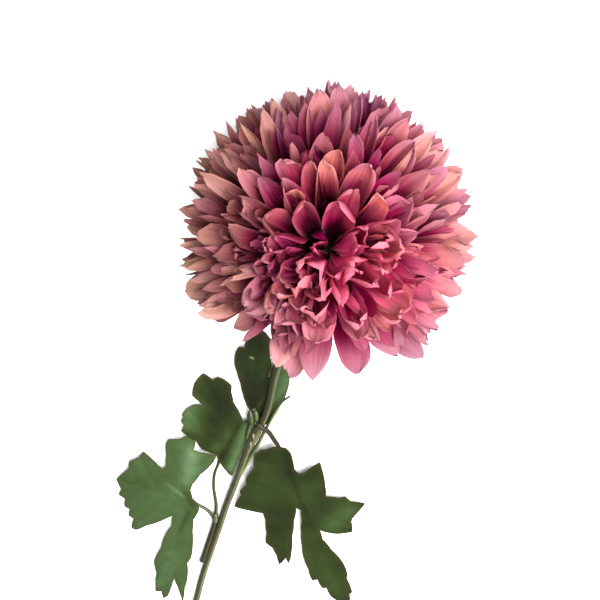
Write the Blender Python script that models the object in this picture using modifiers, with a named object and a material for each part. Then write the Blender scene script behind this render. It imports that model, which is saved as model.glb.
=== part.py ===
# Disbud chrysanthemum: one large bloom on a cut stem with five lobed leaves, lying on a surface.
# The surface is z = 0, the cut end of the stem points to -Y and the bloom is at the +Y end.
# The bloom faces up and a little towards +Y, because the stem is bent sharply just under it.

import math

import bmesh
import bpy
import numpy as np
from mathutils import Vector
from mathutils.geometry import delaunay_2d_cdt

MM = 0.001
GAP = 0.35  # mm left between neighbouring pieces
SHIFT = Vector((-18.5, 125.6, 0.0))  # mm, brings the middle of the whole flower over the origin

# Bloom, in mm and degrees. Polar angles are counted from the axis that the bloom faces along.
BLOOM_CENTER = Vector((0.0, 0.0, 48.0))  # the middle of the ball that the tips lie on
BLOOM_TILT = 32.0
BLOOM_TURN = 18.0
BLOOM_RADIUS = 72.0
CORE_CENTER = BLOOM_CENTER + Vector((2.9, -8.9, 5.8))  # the petals leave nearer to the stem
CORE_RADIUS = 17.0
PETAL_COUNT = 180
PETAL_SEED = 7
FIRST_POLAR = 9.0
LAST_POLAR = 130.0
PETAL_THICKNESS = 0.7
PETAL_ROOT_WIDTH = 3.4
PETAL_WIDTH = 10.5
ROOT_SINK = 4.5  # how deep a petal's root lies in the core
PETAL_ROWS = (0.0, 0.42, 0.84, 1.0)  # places of the rows of points between root and tip
ROW_WIDTHS = (0.0, 0.82, 0.9, 0.0)  # shares of the petal's width; the root has its own
ROW_CUPS = (0.3, 1.3, 1.7, 0.0)  # mm that the edges stand above the midrib
LAST_FROM_CORE = 132.5  # no petal leaves the core further round than this, so the calyx is free
STEEPEST = 112.0  # petals that point lower than this, from straight up, are pushed outwards
STEEP_SHARE = 0.7
VALLEY_POLAR = 48.0  # a dark valley crosses the upper half between the inner tuft and the rest
VALLEY_PUSH = 7.0
VALLEY_SPREAD = 11.0
INCURVE = 0.22  # radians that the petals under the hollow curl towards the axis
INCURVE_PLACE = -0.42
INCURVE_SPREAD = 0.3
INCURVE_LAST_POLAR = 60.0
FRINGE_TURN = 178.0  # towards the stem one outer petal in three is long and the others are short
FRINGE_SPREAD = 45.0
FRINGE_EVERY = 3
FRINGE_SHARE = 0.74  # reach of the short ones
FRINGE_WIDTH = 1.15  # width of the long ones
PARTING_TURN = 141.0  # where the outer petals lie apart, counted round the axis from the +Y side
PARTING_PUSH = 15.0
PARTING_SPREAD = 26.0
SURFACE_GAP = 0.2  # mm that the lowest petals stay above the surface
EASE = 1.2  # mm over which what would sink is laid flat instead
GOLDEN_ANGLE = math.pi * (3.0 - math.sqrt(5.0))

# Calyx, in mm
CALYX_DEPTH = 27.0  # from the middle of the bloom to the neck of the stem
CALYX_POLAR = 146.0  # where the rim of the cup lies round the core
CALYX_WALL = 1.6
CALYX_SIDE = ((10.6, -18.2), (8.4, -21.4), (5.0, -24.2))  # radius and height down the outer side
BRACT_COUNT = 13
BRACT_THICKNESS = 0.8
BRACT_ROWS = ((7.0, 21.0, 1.6), (11.5, 19.3, 2.2))  # radius, depth and half width
BRACT_TIP = (15.2, 18.7)  # radius and depth

# Stem, in mm: the route of its middle, from the cut end to the neck
STEM_RADIUS = 2.05
STEM_ROUTE = (
    (17.5, -322, 2.05), (15.5, -294, 2.05), (14.2, -280, 2.05), (13.4, -266, 2.2),
    (12.9, -250, 2.6), (12.2, -230, 3.4), (11.4, -214, 4.2), (11.1, -195, 5.5),
    (11.0, -180, 6.5), (10.7, -167, 7.5), (11.0, -160, 8.0), (11.8, -152, 8.5),
    (12.7, -144, 9.0), (12.4, -134, 9.5), (10.8, -123, 10.0), (9.4, -112, 10.2),
    (8.6, -92, 10.4), (8.6, -72, 10.9), (8.8, -56, 12.6), (8.9, -43, 16.0), (8.6, -33.5, 20.6),
)
NECK_LENGTH = 5.0  # the straight end of the stem under the calyx
JOINT_Y = -158.0  # where the side shoots leave the stem in a thicker joint
JOINT_BULGE = 0.9
SHOOT_RADIUS = 1.35
SHOOT_ROUTE = ((11.6, -262, 2.4), (10.0, -248, 2.9), (9.2, -234, 3.5), (8.0, -225.5, 4.2))
TWIG_RADIUS = 1.3
TWIG_ROUTE = (
    (12.2, -188, 6.2), (13.8, -176, 6.7), (15.2, -165, 7.0), (16.1, -154, 7.5),
    (17.6, -138, 8.5), (19.0, -130, 9.5), (21.5, -124.5, 10.8),
)
STALK_RADIUS = 1.1

# Leaves, in mm. The height of a blade is base + slope . (place - base) - fall * distance + ripple.
LEAF_THICKNESS = 0.7
LEAF_CELL = 9.0  # between the points inside a blade
LEAF_LEAST_HEIGHT = 0.6
LEAVES = {
    "leaf_upper": {
        "base": (4.5, -145.0, 6.3), "slope": (0.0, 0.0), "fall": 0.02,
        "ripple": 0.5, "wave": 30.0, "heading": 60.0,
        "outline": (
            (-9, -90), (-10, -93), (-11, -98), (-11, -105), (-14, -106), (-14.5, -111),
            (-13, -117), (-10.5, -121), (-6, -128), (-3, -134), (0, -139), (3, -143), (5.5, -142.5),
            (8.5, -138), (9, -129), (7, -119), (7, -112), (4, -106), (4, -102), (2, -96), (-3, -92),
        ),
        "stalk": ((11.8, -149.5, 8.2), (8.0, -147.5, 6.7), (5.2, -145.0, None), (1.0, -136.0, None)),
    },
    "leaf_behind": {
        "base": (14.0, -153.0, 5.2), "slope": (0.0, 0.0), "fall": 0.045,
        "ripple": 0.3, "wave": 30.0, "heading": 0.0,
        "outline": (
            (14, -153), (8.5, -147), (6.5, -141), (7, -132), (8, -121), (8.5, -110), (11, -103),
            (15, -107), (19, -117), (20.5, -126), (20, -136), (19, -144), (17, -150),
        ),
        "stalk": ((11.6, -156.0, 7.2), (12.8, -156.5, 4.9), (13.8, -152.0, None), (14.0, -141.0, None)),
    },
    "leaf_middle": {
        "base": (-1.9, -184.0, 7.0), "slope": (0.0, 0.0), "fall": 0.06,
        "ripple": 0.8, "wave": 34.0, "heading": 20.0,
        "outline": (
            (-21, -150), (-29, -146), (-30, -138), (-27, -130), (-21, -132), (-19, -129), (-16, -129),
            (-10, -132), (-9, -136), (-6, -142), (-4, -144), (1, -150), (3, -153), (5, -152),
            (7.3, -148.5), (8, -152), (8.3, -162), (8, -184), (8, -191), (6, -190.5), (3, -188),
            (-1, -184.5), (-5, -179.5), (-14, -179), (-18, -175), (-25, -172), (-28.5, -170),
            (-28, -166), (-30.5, -164), (-30, -161), (-31, -159.5), (-30, -155.5), (-26, -151),
        ),
        "stalk": (
            (8.0, -226.5, 4.2), (5.5, -216.0, 4.8), (0.6, -204.0, 5.4), (-1.9, -194.0, 5.6),
            (-1.9, -185.0, None), (-3.5, -172.0, None),
        ),
    },
    "leaf_lower_left": {
        "base": (-3.7, -220.0, 6.2), "slope": (0.03, 0.05), "fall": 0.0,
        "ripple": 0.8, "wave": 40.0, "heading": 30.0,
        "outline": (
            (-31, -200), (-45, -190), (-46.5, -195), (-51, -199.5), (-50, -205), (-54.5, -216),
            (-50, -222), (-50.5, -227), (-46, -229), (-45, -235), (-41.5, -235.5), (-41, -241),
            (-37.5, -242), (-37, -250), (-34, -250.5), (-29, -244), (-18, -233.5), (-16.5, -232),
            (-15, -240), (-17, -249), (-16.5, -258), (-17.5, -271), (-13.5, -280), (-11, -292),
            (-10, -296), (-6.5, -294), (-4, -299.5), (-2, -296), (-2.5, -280), (2, -287), (6, -294),
            (8, -299), (6, -286), (5, -276), (2, -266), (3, -262), (1, -250), (-2, -240), (-4, -231),
            (-3, -222), (-5, -218), (-9, -215), (-12, -209), (-12, -204), (-10, -195), (-5.5, -184),
            (-5, -178.5), (-14, -179), (-18.5, -179), (-19, -172.5), (-25, -170), (-28, -174),
            (-34, -177), (-34.5, -181), (-32, -189), (-30, -197),
        ),
        "stalk": ((8.4, -228.0, 3.9), (2.1, -222.0, 4.5), (-4.0, -220.0, None), (-15.0, -217.0, None)),
    },
    "leaf_lower_right": {
        "base": (25.0, -160.0, 11.6), "slope": (0.0, 0.0), "fall": 0.085,
        "ripple": 0.7, "wave": 45.0, "heading": 70.0,
        "outline": (
            (23, -161), (20, -164), (17, -166), (15, -171), (17.5, -180), (15.5, -188), (17, -193),
            (15, -199), (16.5, -202), (15.5, -213), (25, -213), (33, -212), (36, -217), (40, -228),
            (41.5, -235), (47, -238), (51, -243), (55, -250), (57, -244), (60, -247.5), (60, -243),
            (55, -224), (52, -212), (50, -201.5), (53, -202.5), (56, -210), (59, -220), (63, -231),
            (68, -242), (73, -249), (78, -257), (81, -255.5), (86, -261.5), (88.5, -260.5), (93, -266.5),
            (99, -269.5), (107, -270.5), (104, -262), (105, -260), (98, -250), (97, -246), (91.5, -238),
            (81, -229), (73, -222), (69, -215), (79, -215), (88, -211), (85, -204), (84.5, -201.5),
            (88, -188), (79, -189), (75, -186), (72, -188), (64, -189), (61, -181), (55, -169),
            (52, -164), (46, -175), (43.5, -176.5), (40, -174), (34, -162), (30, -159),
        ),
        "stalk": (
            (12.0, -147.5, 9.6), (14.0, -148.5, 10.9), (17.5, -151.5, 10.9), (22.0, -156.0, 10.4),
            (26.5, -161.0, None), (37.0, -176.0, None),
        ),
    },
}

STEM_GREEN = (0.16, 0.17, 0.06, 1.0)
LEAF_GREEN = (0.06, 0.11, 0.035, 1.0)
CALYX_GREEN = (0.13, 0.20, 0.06, 1.0)
PETAL_PINK = (0.55, 0.13, 0.24, 1.0)


def clear_scene():
    for old in list(bpy.data.objects):
        bpy.data.objects.remove(old, do_unlink=True)


def new_collection(name, hidden=False):
    made = bpy.data.collections.new(name)
    bpy.context.scene.collection.children.link(made)
    made.hide_render = hidden
    return made


def new_material(name, color, roughness):
    material = bpy.data.materials.new(name)
    material.use_nodes = True
    shader = material.node_tree.nodes["Principled BSDF"]
    shader.inputs["Base Color"].default_value = color
    shader.inputs["Roughness"].default_value = roughness
    shader.inputs["Metallic"].default_value = 0.0
    return material


def mesh_object(name, points_mm, faces, collection):
    """An object whose mesh has these points, given in mm in the flower's own frame."""
    mesh = bpy.data.meshes.new(name)
    mesh.from_pydata([(Vector(p) + SHIFT) * MM for p in points_mm], [], faces)
    mesh.update()
    made = bpy.data.objects.new(name, mesh)
    collection.objects.link(made)
    return made


def become_mesh(source):
    """Replaces an object by the welded mesh that its modifiers and its curve make."""
    graph = bpy.context.evaluated_depsgraph_get()
    mesh = bpy.data.meshes.new_from_object(source.evaluated_get(graph))
    made = bpy.data.objects.new(source.name, mesh)
    made.matrix_world = source.matrix_world
    for collection in source.users_collection:
        collection.objects.link(made)
    name = source.name
    bpy.data.objects.remove(source, do_unlink=True)
    made.name = name
    sheet = bmesh.new()
    sheet.from_mesh(mesh)
    bmesh.ops.remove_doubles(sheet, verts=sheet.verts, dist=0.001 * MM)
    bmesh.ops.triangulate(sheet, faces=sheet.faces)
    bmesh.ops.recalc_face_normals(sheet, faces=sheet.faces)
    sheet.to_mesh(mesh)
    sheet.free()
    return made


def combine(target, helpers, operation):
    """Joins to the target, or cuts from it, every object of a collection, and removes them."""
    step = target.modifiers.new("combine", "BOOLEAN")
    step.operation = operation
    step.solver = "MANIFOLD"
    step.operand_type = "COLLECTION"
    step.collection = helpers
    made = become_mesh(target)
    for used in list(helpers.objects):
        bpy.data.objects.remove(used, do_unlink=True)
    return made


def tube(name, route, radii, collection, sides_setting=2):
    """A round tube with filled ends along a route, with a radius at each of its points."""
    curve = bpy.data.curves.new(name, "CURVE")
    curve.dimensions = "3D"
    curve.bevel_depth = MM
    curve.bevel_resolution = sides_setting
    curve.use_fill_caps = True
    spline = curve.splines.new("POLY")
    spline.points.add(len(route) - 1)
    for point, place, radius in zip(spline.points, route, radii):
        point.co = (*((Vector(place) + SHIFT) * MM), 1.0)
        point.radius = radius
    made = bpy.data.objects.new(name, curve)
    collection.objects.link(made)
    return become_mesh(made)


def smooth_route(route, spacing):
    """Points about this far apart on the smooth curve through a route's own points."""
    points = np.array(route, float)
    ends = np.vstack([2 * points[0] - points[1], points, 2 * points[-1] - points[-2]])
    found = []
    for before, here, there, after in zip(ends, ends[1:], ends[2:], ends[3:]):
        count = max(1, round(float(np.linalg.norm(there - here)) / spacing))
        for t in np.arange(count) / count:
            found.append(
                0.5 * (2 * here + (there - before) * t
                       + (2 * before - 5 * here + 4 * there - after) * t**2
                       + (3 * here - before - 3 * there + after) * t**3)
            )
    found.append(points[-1])
    return np.array(found)


def bloom_frame():
    """The axis that the bloom faces along and two directions square to it."""
    tilt, turn = math.radians(BLOOM_TILT), math.radians(BLOOM_TURN)
    away = Vector((-math.sin(turn), math.cos(turn), 0.0))
    axis = away * math.sin(tilt) + Vector((0, 0, 1)) * math.cos(tilt)
    across = away * math.cos(tilt) - Vector((0, 0, 1)) * math.sin(tilt)
    return axis, across, axis.cross(across)


def from_core(polar, turn, reach):
    """The same tips by their polar angle, turn and distance as seen from the core.

    The tips lie round the middle of the ball. Those that would point into the surface are
    pushed outwards first, as they are under a flower that lies down.
    """
    axis, across, side = (np.array(v) for v in bloom_frame())
    out = np.outer(np.cos(turn), across) + np.outer(np.sin(turn), side)
    way = np.cos(polar)[:, None] * axis + np.sin(polar)[:, None] * out
    steep = np.arccos(np.clip(way[:, 2], -1.0, 1.0))
    limit = math.radians(STEEPEST)
    eased = np.where(steep > limit, limit + STEEP_SHARE * (steep - limit), steep)
    way[:, :2] *= (np.sin(eased) / np.sin(steep))[:, None]
    way[:, 2] = np.cos(eased)
    tip = reach[:, None] * way - np.array(CORE_CENTER - BLOOM_CENTER)
    length = np.linalg.norm(tip, axis=1)
    polar = np.arccos(np.clip(tip @ axis / length, -1.0, 1.0))
    return np.minimum(polar, math.radians(LAST_FROM_CORE)), np.arctan2(tip @ side, tip @ across), length


def petal_plan():
    """For each petal its polar angle, turn, length from the core, width, twist, bow and curl."""
    draw = np.random.default_rng(PETAL_SEED)
    index = np.arange(PETAL_COUNT)
    first, last = math.cos(math.radians(FIRST_POLAR)), math.cos(math.radians(LAST_POLAR))
    polar = np.arccos(first + (last - first) * (index + 0.5) / PETAL_COUNT)
    polar = polar + np.radians(draw.uniform(-2.5, 2.5, PETAL_COUNT))
    turn = index * GOLDEN_ANGLE + np.radians(draw.uniform(-4.0, 4.0, PETAL_COUNT))
    aside = (np.degrees(turn) - PARTING_TURN + 180.0) % 360.0 - 180.0
    outer = np.clip((np.degrees(polar) - 62.0) / 20.0, 0.0, 1.0)
    push = PARTING_PUSH * np.sign(aside) * np.exp(-((aside / PARTING_SPREAD) ** 2))
    turn = turn + np.radians(outer * push)
    beyond = np.degrees(polar) - VALLEY_POLAR
    valley = VALLEY_PUSH * np.sign(beyond) * np.exp(-((beyond / VALLEY_SPREAD) ** 2))
    polar = polar + np.radians(valley * np.clip(np.cos(turn), 0.0, 1.0))
    inner = np.exp(-((np.degrees(polar) / 17.0) ** 2))
    reach = BLOOM_RADIUS * (1.0 - 0.38 * inner) * draw.uniform(0.93, 1.0, PETAL_COUNT)
    width = PETAL_WIDTH * (1.0 - 0.35 * inner) * draw.uniform(0.88, 1.1, PETAL_COUNT)
    aside = (np.degrees(turn) - FRINGE_TURN + 180.0) % 360.0 - 180.0
    fringe = outer * np.exp(-((aside / FRINGE_SPREAD) ** 6))
    long = index % FRINGE_EVERY == 0
    reach = reach * np.where(long, 1.0, 1.0 - (1.0 - FRINGE_SHARE) * fringe)
    width = width * np.where(long, 1.0 + (FRINGE_WIDTH - 1.0) * fringe, 1.0)
    twist = np.radians(draw.uniform(-22.0, 22.0, PETAL_COUNT))
    bow = np.radians(draw.uniform(-5.0, 2.0, PETAL_COUNT))
    under = (np.sin(polar) * np.cos(turn) - INCURVE_PLACE) / INCURVE_SPREAD
    near = np.exp(-((np.degrees(polar) / INCURVE_LAST_POLAR) ** 4))
    curl = draw.uniform(-0.08, 0.1, PETAL_COUNT) - INCURVE * np.exp(-(under**2)) * near
    return *from_core(polar, turn, reach), width, twist, bow, curl


def above_surface(height, least):
    """A height that eases to the least one instead of passing below it."""
    lift = height - least
    return least + 0.5 * (lift + np.sqrt(lift**2 + EASE**2))


def petal_points(polar, turn, reach, width, twist, bow, curl):
    """The middle surface of one petal: four rows of three points, cupped towards the axis."""
    axis, across, side = (np.array(v) for v in bloom_frame())
    along = np.array(PETAL_ROWS)
    half_widths = width * np.array(ROW_WIDTHS) / 2
    half_widths[0] = PETAL_ROOT_WIDTH / 2
    cups = np.array(ROW_CUPS)
    root = CORE_RADIUS - ROOT_SINK
    radius = root + (reach - root) * along
    angle = polar + bow * 4 * along * (1 - along) + curl * (along**3 - along)
    out = math.cos(turn) * across + math.sin(turn) * side
    tangent = -math.sin(turn) * across + math.cos(turn) * side
    spokes = np.outer(np.cos(angle), axis) + np.outer(np.sin(angle), out)
    inward = np.outer(np.sin(angle), axis) - np.outer(np.cos(angle), out)
    middle = np.array(CORE_CENTER) + radius[:, None] * spokes
    turned = twist * along
    wide = np.cos(turned)[:, None] * tangent + np.sin(turned)[:, None] * inward
    rise = np.cos(turned)[:, None] * inward - np.sin(turned)[:, None] * tangent
    rows = np.empty((4, 3, 3))
    for column, sideways in enumerate((-1.0, 0.0, 1.0)):
        lift = cups * (abs(sideways) - 0.5)
        rows[:, column] = middle + sideways * half_widths[:, None] * wide + lift[:, None] * rise
    rows[..., 2] = above_surface(rows[..., 2], SURFACE_GAP + PETAL_THICKNESS / 2)
    return rows


def add_petal(number, shape, collection):
    """One closed petal: its middle surface made as thick as a petal, split alike on both faces."""
    rows = petal_points(*shape)
    points = list(rows[:3].reshape(-1, 3)) + [rows[3, 1]]
    faces = []
    for row in (0, 1):
        for column in (0, 1):
            a = row * 3 + column
            faces += [(a, a + 3, a + 4), (a, a + 4, a + 1)]
    faces += [(6, 9, 7), (7, 9, 8)]
    petal = mesh_object(f"petal_{number}", points, faces, collection)
    wall = petal.modifiers.new("thickness", "SOLIDIFY")
    wall.thickness = PETAL_THICKNESS * MM
    wall.offset = 0.0
    become_mesh(petal)


def build_bloom(parts, material):
    """The flower head: a small round core and its petals, fused into one body."""
    bpy.ops.mesh.primitive_uv_sphere_add(
        segments=16, ring_count=8, radius=CORE_RADIUS * MM, location=(CORE_CENTER + SHIFT) * MM
    )
    bloom = bpy.context.active_object
    for collection in list(bloom.users_collection):
        collection.objects.unlink(bloom)
    parts.objects.link(bloom)
    bloom.name = "bloom"
    petals = new_collection("petals", hidden=True)
    for number, shape in enumerate(zip(*petal_plan())):
        add_petal(number, shape, petals)
    bloom = combine(bloom, petals, "UNION")
    bloom.data.materials.clear()
    bloom.data.materials.append(material)
    bpy.data.collections.remove(petals)
    return bloom


def blade_height(leaf, x, y):
    """The height of the middle surface of a leaf blade over a place, in mm."""
    base_x, base_y, base_z = leaf["base"]
    across, along = x - base_x, y - base_y
    heading = math.radians(leaf["heading"])
    run = across * math.cos(heading) + along * math.sin(heading)
    height = base_z + leaf["slope"][0] * across + leaf["slope"][1] * along
    height -= leaf["fall"] * math.hypot(across, along)
    height += leaf["ripple"] * math.sin(2 * math.pi * run / leaf["wave"])
    return float(above_surface(height, LEAF_LEAST_HEIGHT))


def inside(outline, x, y, margin):
    """Whether a place is inside an outline and at least the margin away from its edges."""
    crossings = 0
    for (ax, ay), (bx, by) in zip(outline, outline[1:] + outline[:1]):
        if (ay > y) != (by > y) and x < ax + (y - ay) * (bx - ax) / (by - ay):
            crossings += 1
        length_squared = (bx - ax) ** 2 + (by - ay) ** 2
        share = min(1.0, max(0.0, ((x - ax) * (bx - ax) + (y - ay) * (by - ay)) / length_squared))
        if math.hypot(x - ax - share * (bx - ax), y - ay - share * (by - ay)) < margin:
            return False
    return crossings % 2 == 1


def build_leaf(name, leaf, parts, material):
    """A lobed blade: its outline filled with even triangles, bent to its height and thickened."""
    outline = leaf["outline"]
    places = [Vector(corner) for corner in outline]
    low = [min(corner[k] for corner in outline) for k in (0, 1)]
    high = [max(corner[k] for corner in outline) for k in (0, 1)]
    for x in np.arange(low[0] + LEAF_CELL / 2, high[0], LEAF_CELL):
        for y in np.arange(low[1] + LEAF_CELL / 2, high[1], LEAF_CELL):
            if inside(outline, x, y, 0.35 * LEAF_CELL):
                places.append(Vector((x, y)))
    flat, _, faces, *_ = delaunay_2d_cdt(places, [], [list(range(len(outline)))], 1, 1e-4)
    points = [(p.x, p.y, blade_height(leaf, p.x, p.y)) for p in flat]
    blade = mesh_object(name, points, faces, parts)
    wall = blade.modifiers.new("thickness", "SOLIDIFY")
    wall.thickness = LEAF_THICKNESS * MM
    wall.offset = 0.0
    blade = become_mesh(blade)
    blade.data.materials.append(material)
    return blade


def stalk_route(leaf):
    """A leaf stalk's route. Where no height is given it runs just under the blade."""
    under = LEAF_THICKNESS / 2 + GAP + STALK_RADIUS
    return [
        (x, y, blade_height(leaf, x, y) - under - 0.1 if z is None else z)
        for x, y, z in leaf["stalk"]
    ]


def build_stem(parts, material):
    """The cut stem with its joint, a side shoot, a bare twig and the stalks of the leaves."""
    axis = bloom_frame()[0]
    top = CORE_CENTER - axis * (CALYX_DEPTH + GAP)
    neck = (tuple(top - axis * NECK_LENGTH), tuple(top))
    route = smooth_route(STEM_ROUTE + neck, 9.0)
    bulge = JOINT_BULGE * np.exp(-(((route[:, 1] - JOINT_Y) / 7.0) ** 2))
    stem = tube("stem", route, STEM_RADIUS + bulge, parts)
    branches = new_collection("branches", hidden=True)
    shoot = smooth_route(SHOOT_ROUTE, 9.0)
    tube("side_shoot", shoot, [SHOOT_RADIUS] * len(shoot), branches, 1)
    twig = smooth_route(TWIG_ROUTE, 9.0)
    tube("twig", twig, np.linspace(TWIG_RADIUS, 0.45 * TWIG_RADIUS, len(twig)), branches, 1)
    for name, leaf in LEAVES.items():
        stalk = smooth_route(stalk_route(leaf), 6.0)
        radii = np.linspace(1.0, 0.8, len(stalk)) * STALK_RADIUS
        tube(f"{name}_stalk", stalk, radii, branches, 1)
    stem = combine(stem, branches, "UNION")
    stem.data.materials.clear()
    stem.data.materials.append(material)
    bpy.data.collections.remove(branches)
    return stem


def cup_profile():
    """The calyx's outline as radius and height over the middle of the bloom, down the outer side."""
    hollow = CORE_RADIUS + GAP
    rim = math.radians(180.0 - CALYX_POLAR)
    lip = (hollow * math.sin(rim) + CALYX_WALL, -hollow * math.cos(rim) - 0.4 * CALYX_WALL)
    bottom = [(3.2, -CALYX_DEPTH), (0.0, -CALYX_DEPTH)]
    inner = [(hollow * math.sin(rim * k / 4), -hollow * math.cos(rim * k / 4)) for k in range(5)]
    return [lip, *CALYX_SIDE, *bottom], inner


def build_calyx(parts, material):
    """The green cup behind the bloom: a turned cup with a ring of pointed bracts."""
    axis, across, side = bloom_frame()
    outer, inner = cup_profile()
    profile = outer + inner
    edges = [(i, i + 1) for i in range(len(profile) - 1) if i != len(outer) - 1]
    edges.append((len(profile) - 1, 0))
    mesh = bpy.data.meshes.new("calyx")
    mesh.from_pydata([(radius * MM, 0, height * MM) for radius, height in profile], edges, [])
    calyx = bpy.data.objects.new("calyx", mesh)
    parts.objects.link(calyx)
    turn = calyx.modifiers.new("turn", "SCREW")
    turn.steps = turn.render_steps = 16
    turn.use_merge_vertices = True
    turn.merge_threshold = 0.00005
    calyx.location = (CORE_CENTER + SHIFT) * MM
    calyx.rotation_mode = "QUATERNION"
    calyx.rotation_quaternion = Vector((0, 0, 1)).rotation_difference(axis)
    bpy.context.view_layer.update()
    calyx = become_mesh(calyx)
    calyx.data.transform(calyx.matrix_world)
    calyx.matrix_world.identity()
    bracts = new_collection("bracts", hidden=True)
    for number in range(BRACT_COUNT):
        angle = 2 * math.pi * number / BRACT_COUNT
        out = across * math.cos(angle) + side * math.sin(angle)
        sideways = side * math.cos(angle) - across * math.sin(angle)
        corners = []
        for radius, depth, half_width in BRACT_ROWS:
            center = CORE_CENTER + out * radius - axis * depth
            corners += [center - sideways * half_width, center, center + sideways * half_width]
        tip_radius, tip_depth = BRACT_TIP
        corners.append(CORE_CENTER + out * tip_radius - axis * tip_depth)
        faces = [(0, 3, 4), (0, 4, 1), (1, 4, 5), (1, 5, 2), (3, 6, 4), (4, 6, 5)]
        bract = mesh_object(f"bract_{number}", corners, faces, bracts)
        wall = bract.modifiers.new("thickness", "SOLIDIFY")
        wall.thickness = BRACT_THICKNESS * MM
        wall.offset = 0.0
        become_mesh(bract)
    calyx = combine(calyx, bracts, "UNION")
    calyx.data.materials.clear()
    calyx.data.materials.append(material)
    bpy.data.collections.remove(bracts)
    return calyx


clear_scene()
chrysanthemum = new_collection("disbud_chrysanthemum")
build_stem(chrysanthemum, new_material("stem", STEM_GREEN, 0.55))
build_calyx(chrysanthemum, new_material("calyx", CALYX_GREEN, 0.6))
build_bloom(chrysanthemum, new_material("petal", PETAL_PINK, 0.6))
leaf_material = new_material("leaf", LEAF_GREEN, 0.55)
for leaf_name, leaf_shape in LEAVES.items():
    build_leaf(leaf_name, leaf_shape, chrysanthemum, leaf_material)
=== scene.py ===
# Disbud chrysanthemum: the looks of the cut flower, built over its CAD model.
import math

import bpy
import numpy as np
from mathutils import Matrix, Vector
from mathutils.geometry import delaunay_2d_cdt


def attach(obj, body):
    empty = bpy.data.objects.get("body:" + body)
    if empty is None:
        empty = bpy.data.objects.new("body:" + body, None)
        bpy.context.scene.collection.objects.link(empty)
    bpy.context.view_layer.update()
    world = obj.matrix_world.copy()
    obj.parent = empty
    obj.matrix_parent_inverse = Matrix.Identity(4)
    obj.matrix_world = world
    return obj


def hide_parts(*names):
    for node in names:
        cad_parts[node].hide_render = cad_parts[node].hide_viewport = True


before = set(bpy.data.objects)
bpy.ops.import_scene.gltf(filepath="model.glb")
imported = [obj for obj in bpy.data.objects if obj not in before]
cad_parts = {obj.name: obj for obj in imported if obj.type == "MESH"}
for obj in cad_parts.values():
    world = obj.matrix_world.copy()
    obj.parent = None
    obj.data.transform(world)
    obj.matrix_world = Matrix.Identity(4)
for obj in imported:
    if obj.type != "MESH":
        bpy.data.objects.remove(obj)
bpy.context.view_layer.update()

mm = 0.001
shift = np.array((-18.5, 125.6, 0.0))  # mm, from the flower's own frame to the model's
goldenAngle = math.pi * (3.0 - math.sqrt(5.0))


def linearColour(hexText):
    # sRGB to linear: c / 12.92 where it is dark, ((c + 0.055) / 1.055) ^ 2.4 elsewhere
    parts = [int(hexText[k:k + 2], 16) / 255 for k in (1, 3, 5)]
    return (*[c / 12.92 if c <= 0.04045 else ((c + 0.055) / 1.055) ** 2.4 for c in parts], 1.0)


def addNode(tree, kind, inputs=None, stops=None, **settings):
    # adds a shader node with its settings, fills a ramp from (place, colour) stops, and sets or links
    # its inputs: a hex text is a colour, and a node stands for the first of its outputs in use
    node = tree.nodes.new("ShaderNode" + kind)
    for name, value in settings.items():
        setattr(node, name, value)
    if stops:
        ramp = node.color_ramp
        while len(ramp.elements) < len(stops):
            ramp.elements.new(1.0)
        for element, (place, colour) in zip(ramp.elements, stops):
            element.position = place
            element.color = linearColour(colour)
    for key, value in (inputs or {}).items():
        if isinstance(value, bpy.types.Node):
            value = next(output for output in value.outputs if output.enabled)
        if isinstance(value, bpy.types.NodeSocket):
            tree.links.new(value, node.inputs[key])
        else:
            node.inputs[key].default_value = linearColour(value) if isinstance(value, str) else value
    return node


def newMaterial(name):
    # an empty material and the node tree that it is made in
    material = bpy.data.materials.new(name)
    material.use_nodes = True
    material.node_tree.nodes.clear()
    return material, material.node_tree


def makePiece(name, points, faces, material, replaced, layers=None, sharpBorder=None, wall=0.0):
    # a mesh from points in mm of the flower's own frame; layers are colour attributes, one row a point,
    # and wall is the thickness in mm that an open sheet is given
    mesh = bpy.data.meshes.new(name)
    mesh.from_pydata((np.asarray(points) + shift) * mm, [], faces)
    mesh.update()
    for layerName, values in (layers or {}).items():
        layer = mesh.attributes.new(layerName, "FLOAT_COLOR", "POINT")
        layer.data.foreach_set("color", np.asarray(values, np.float32).ravel())
    mesh.polygons.foreach_set("use_smooth", np.ones(len(mesh.polygons), bool))
    if sharpBorder is not None:
        ends = np.empty(2 * len(mesh.edges), np.int32)
        mesh.edges.foreach_get("vertices", ends)
        sharp = sharpBorder[ends.reshape(-1, 2)].all(axis=1)
        mesh.attributes.new("sharp_edge", "BOOLEAN", "EDGE").data.foreach_set("value", sharp)
    mesh.materials.append(material)
    piece = bpy.data.objects.new(name, mesh)
    bpy.context.scene.collection.objects.link(piece)
    if wall:
        thickness = piece.modifiers.new("wall", "SOLIDIFY")
        thickness.thickness = wall * mm
        thickness.offset = 0.0
        graph = bpy.context.evaluated_depsgraph_get()
        piece.data = bpy.data.meshes.new_from_object(piece.evaluated_get(graph))
        piece.modifiers.clear()
        piece.data.set_sharp_from_angle(angle=math.radians(50.0))
    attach(piece, "root")
    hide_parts(replaced)


def quads(grid):
    # the corners of every cell of a grid of point numbers
    return np.stack([grid[:-1, :-1], grid[1:, :-1], grid[1:, 1:], grid[:-1, 1:]], -1).reshape(-1, 4)


def ringFaces(rings, first, last):
    # quads between closed rings of point numbers, and a fan from a middle point over each end
    closed = np.column_stack([rings, rings[:, :1]])
    return [*quads(closed).tolist(), *[(first, a, b) for a, b in zip(closed[0], closed[0, 1:])],
            *[(last, b, a) for a, b in zip(closed[-1], closed[-1, 1:])]]


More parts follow.
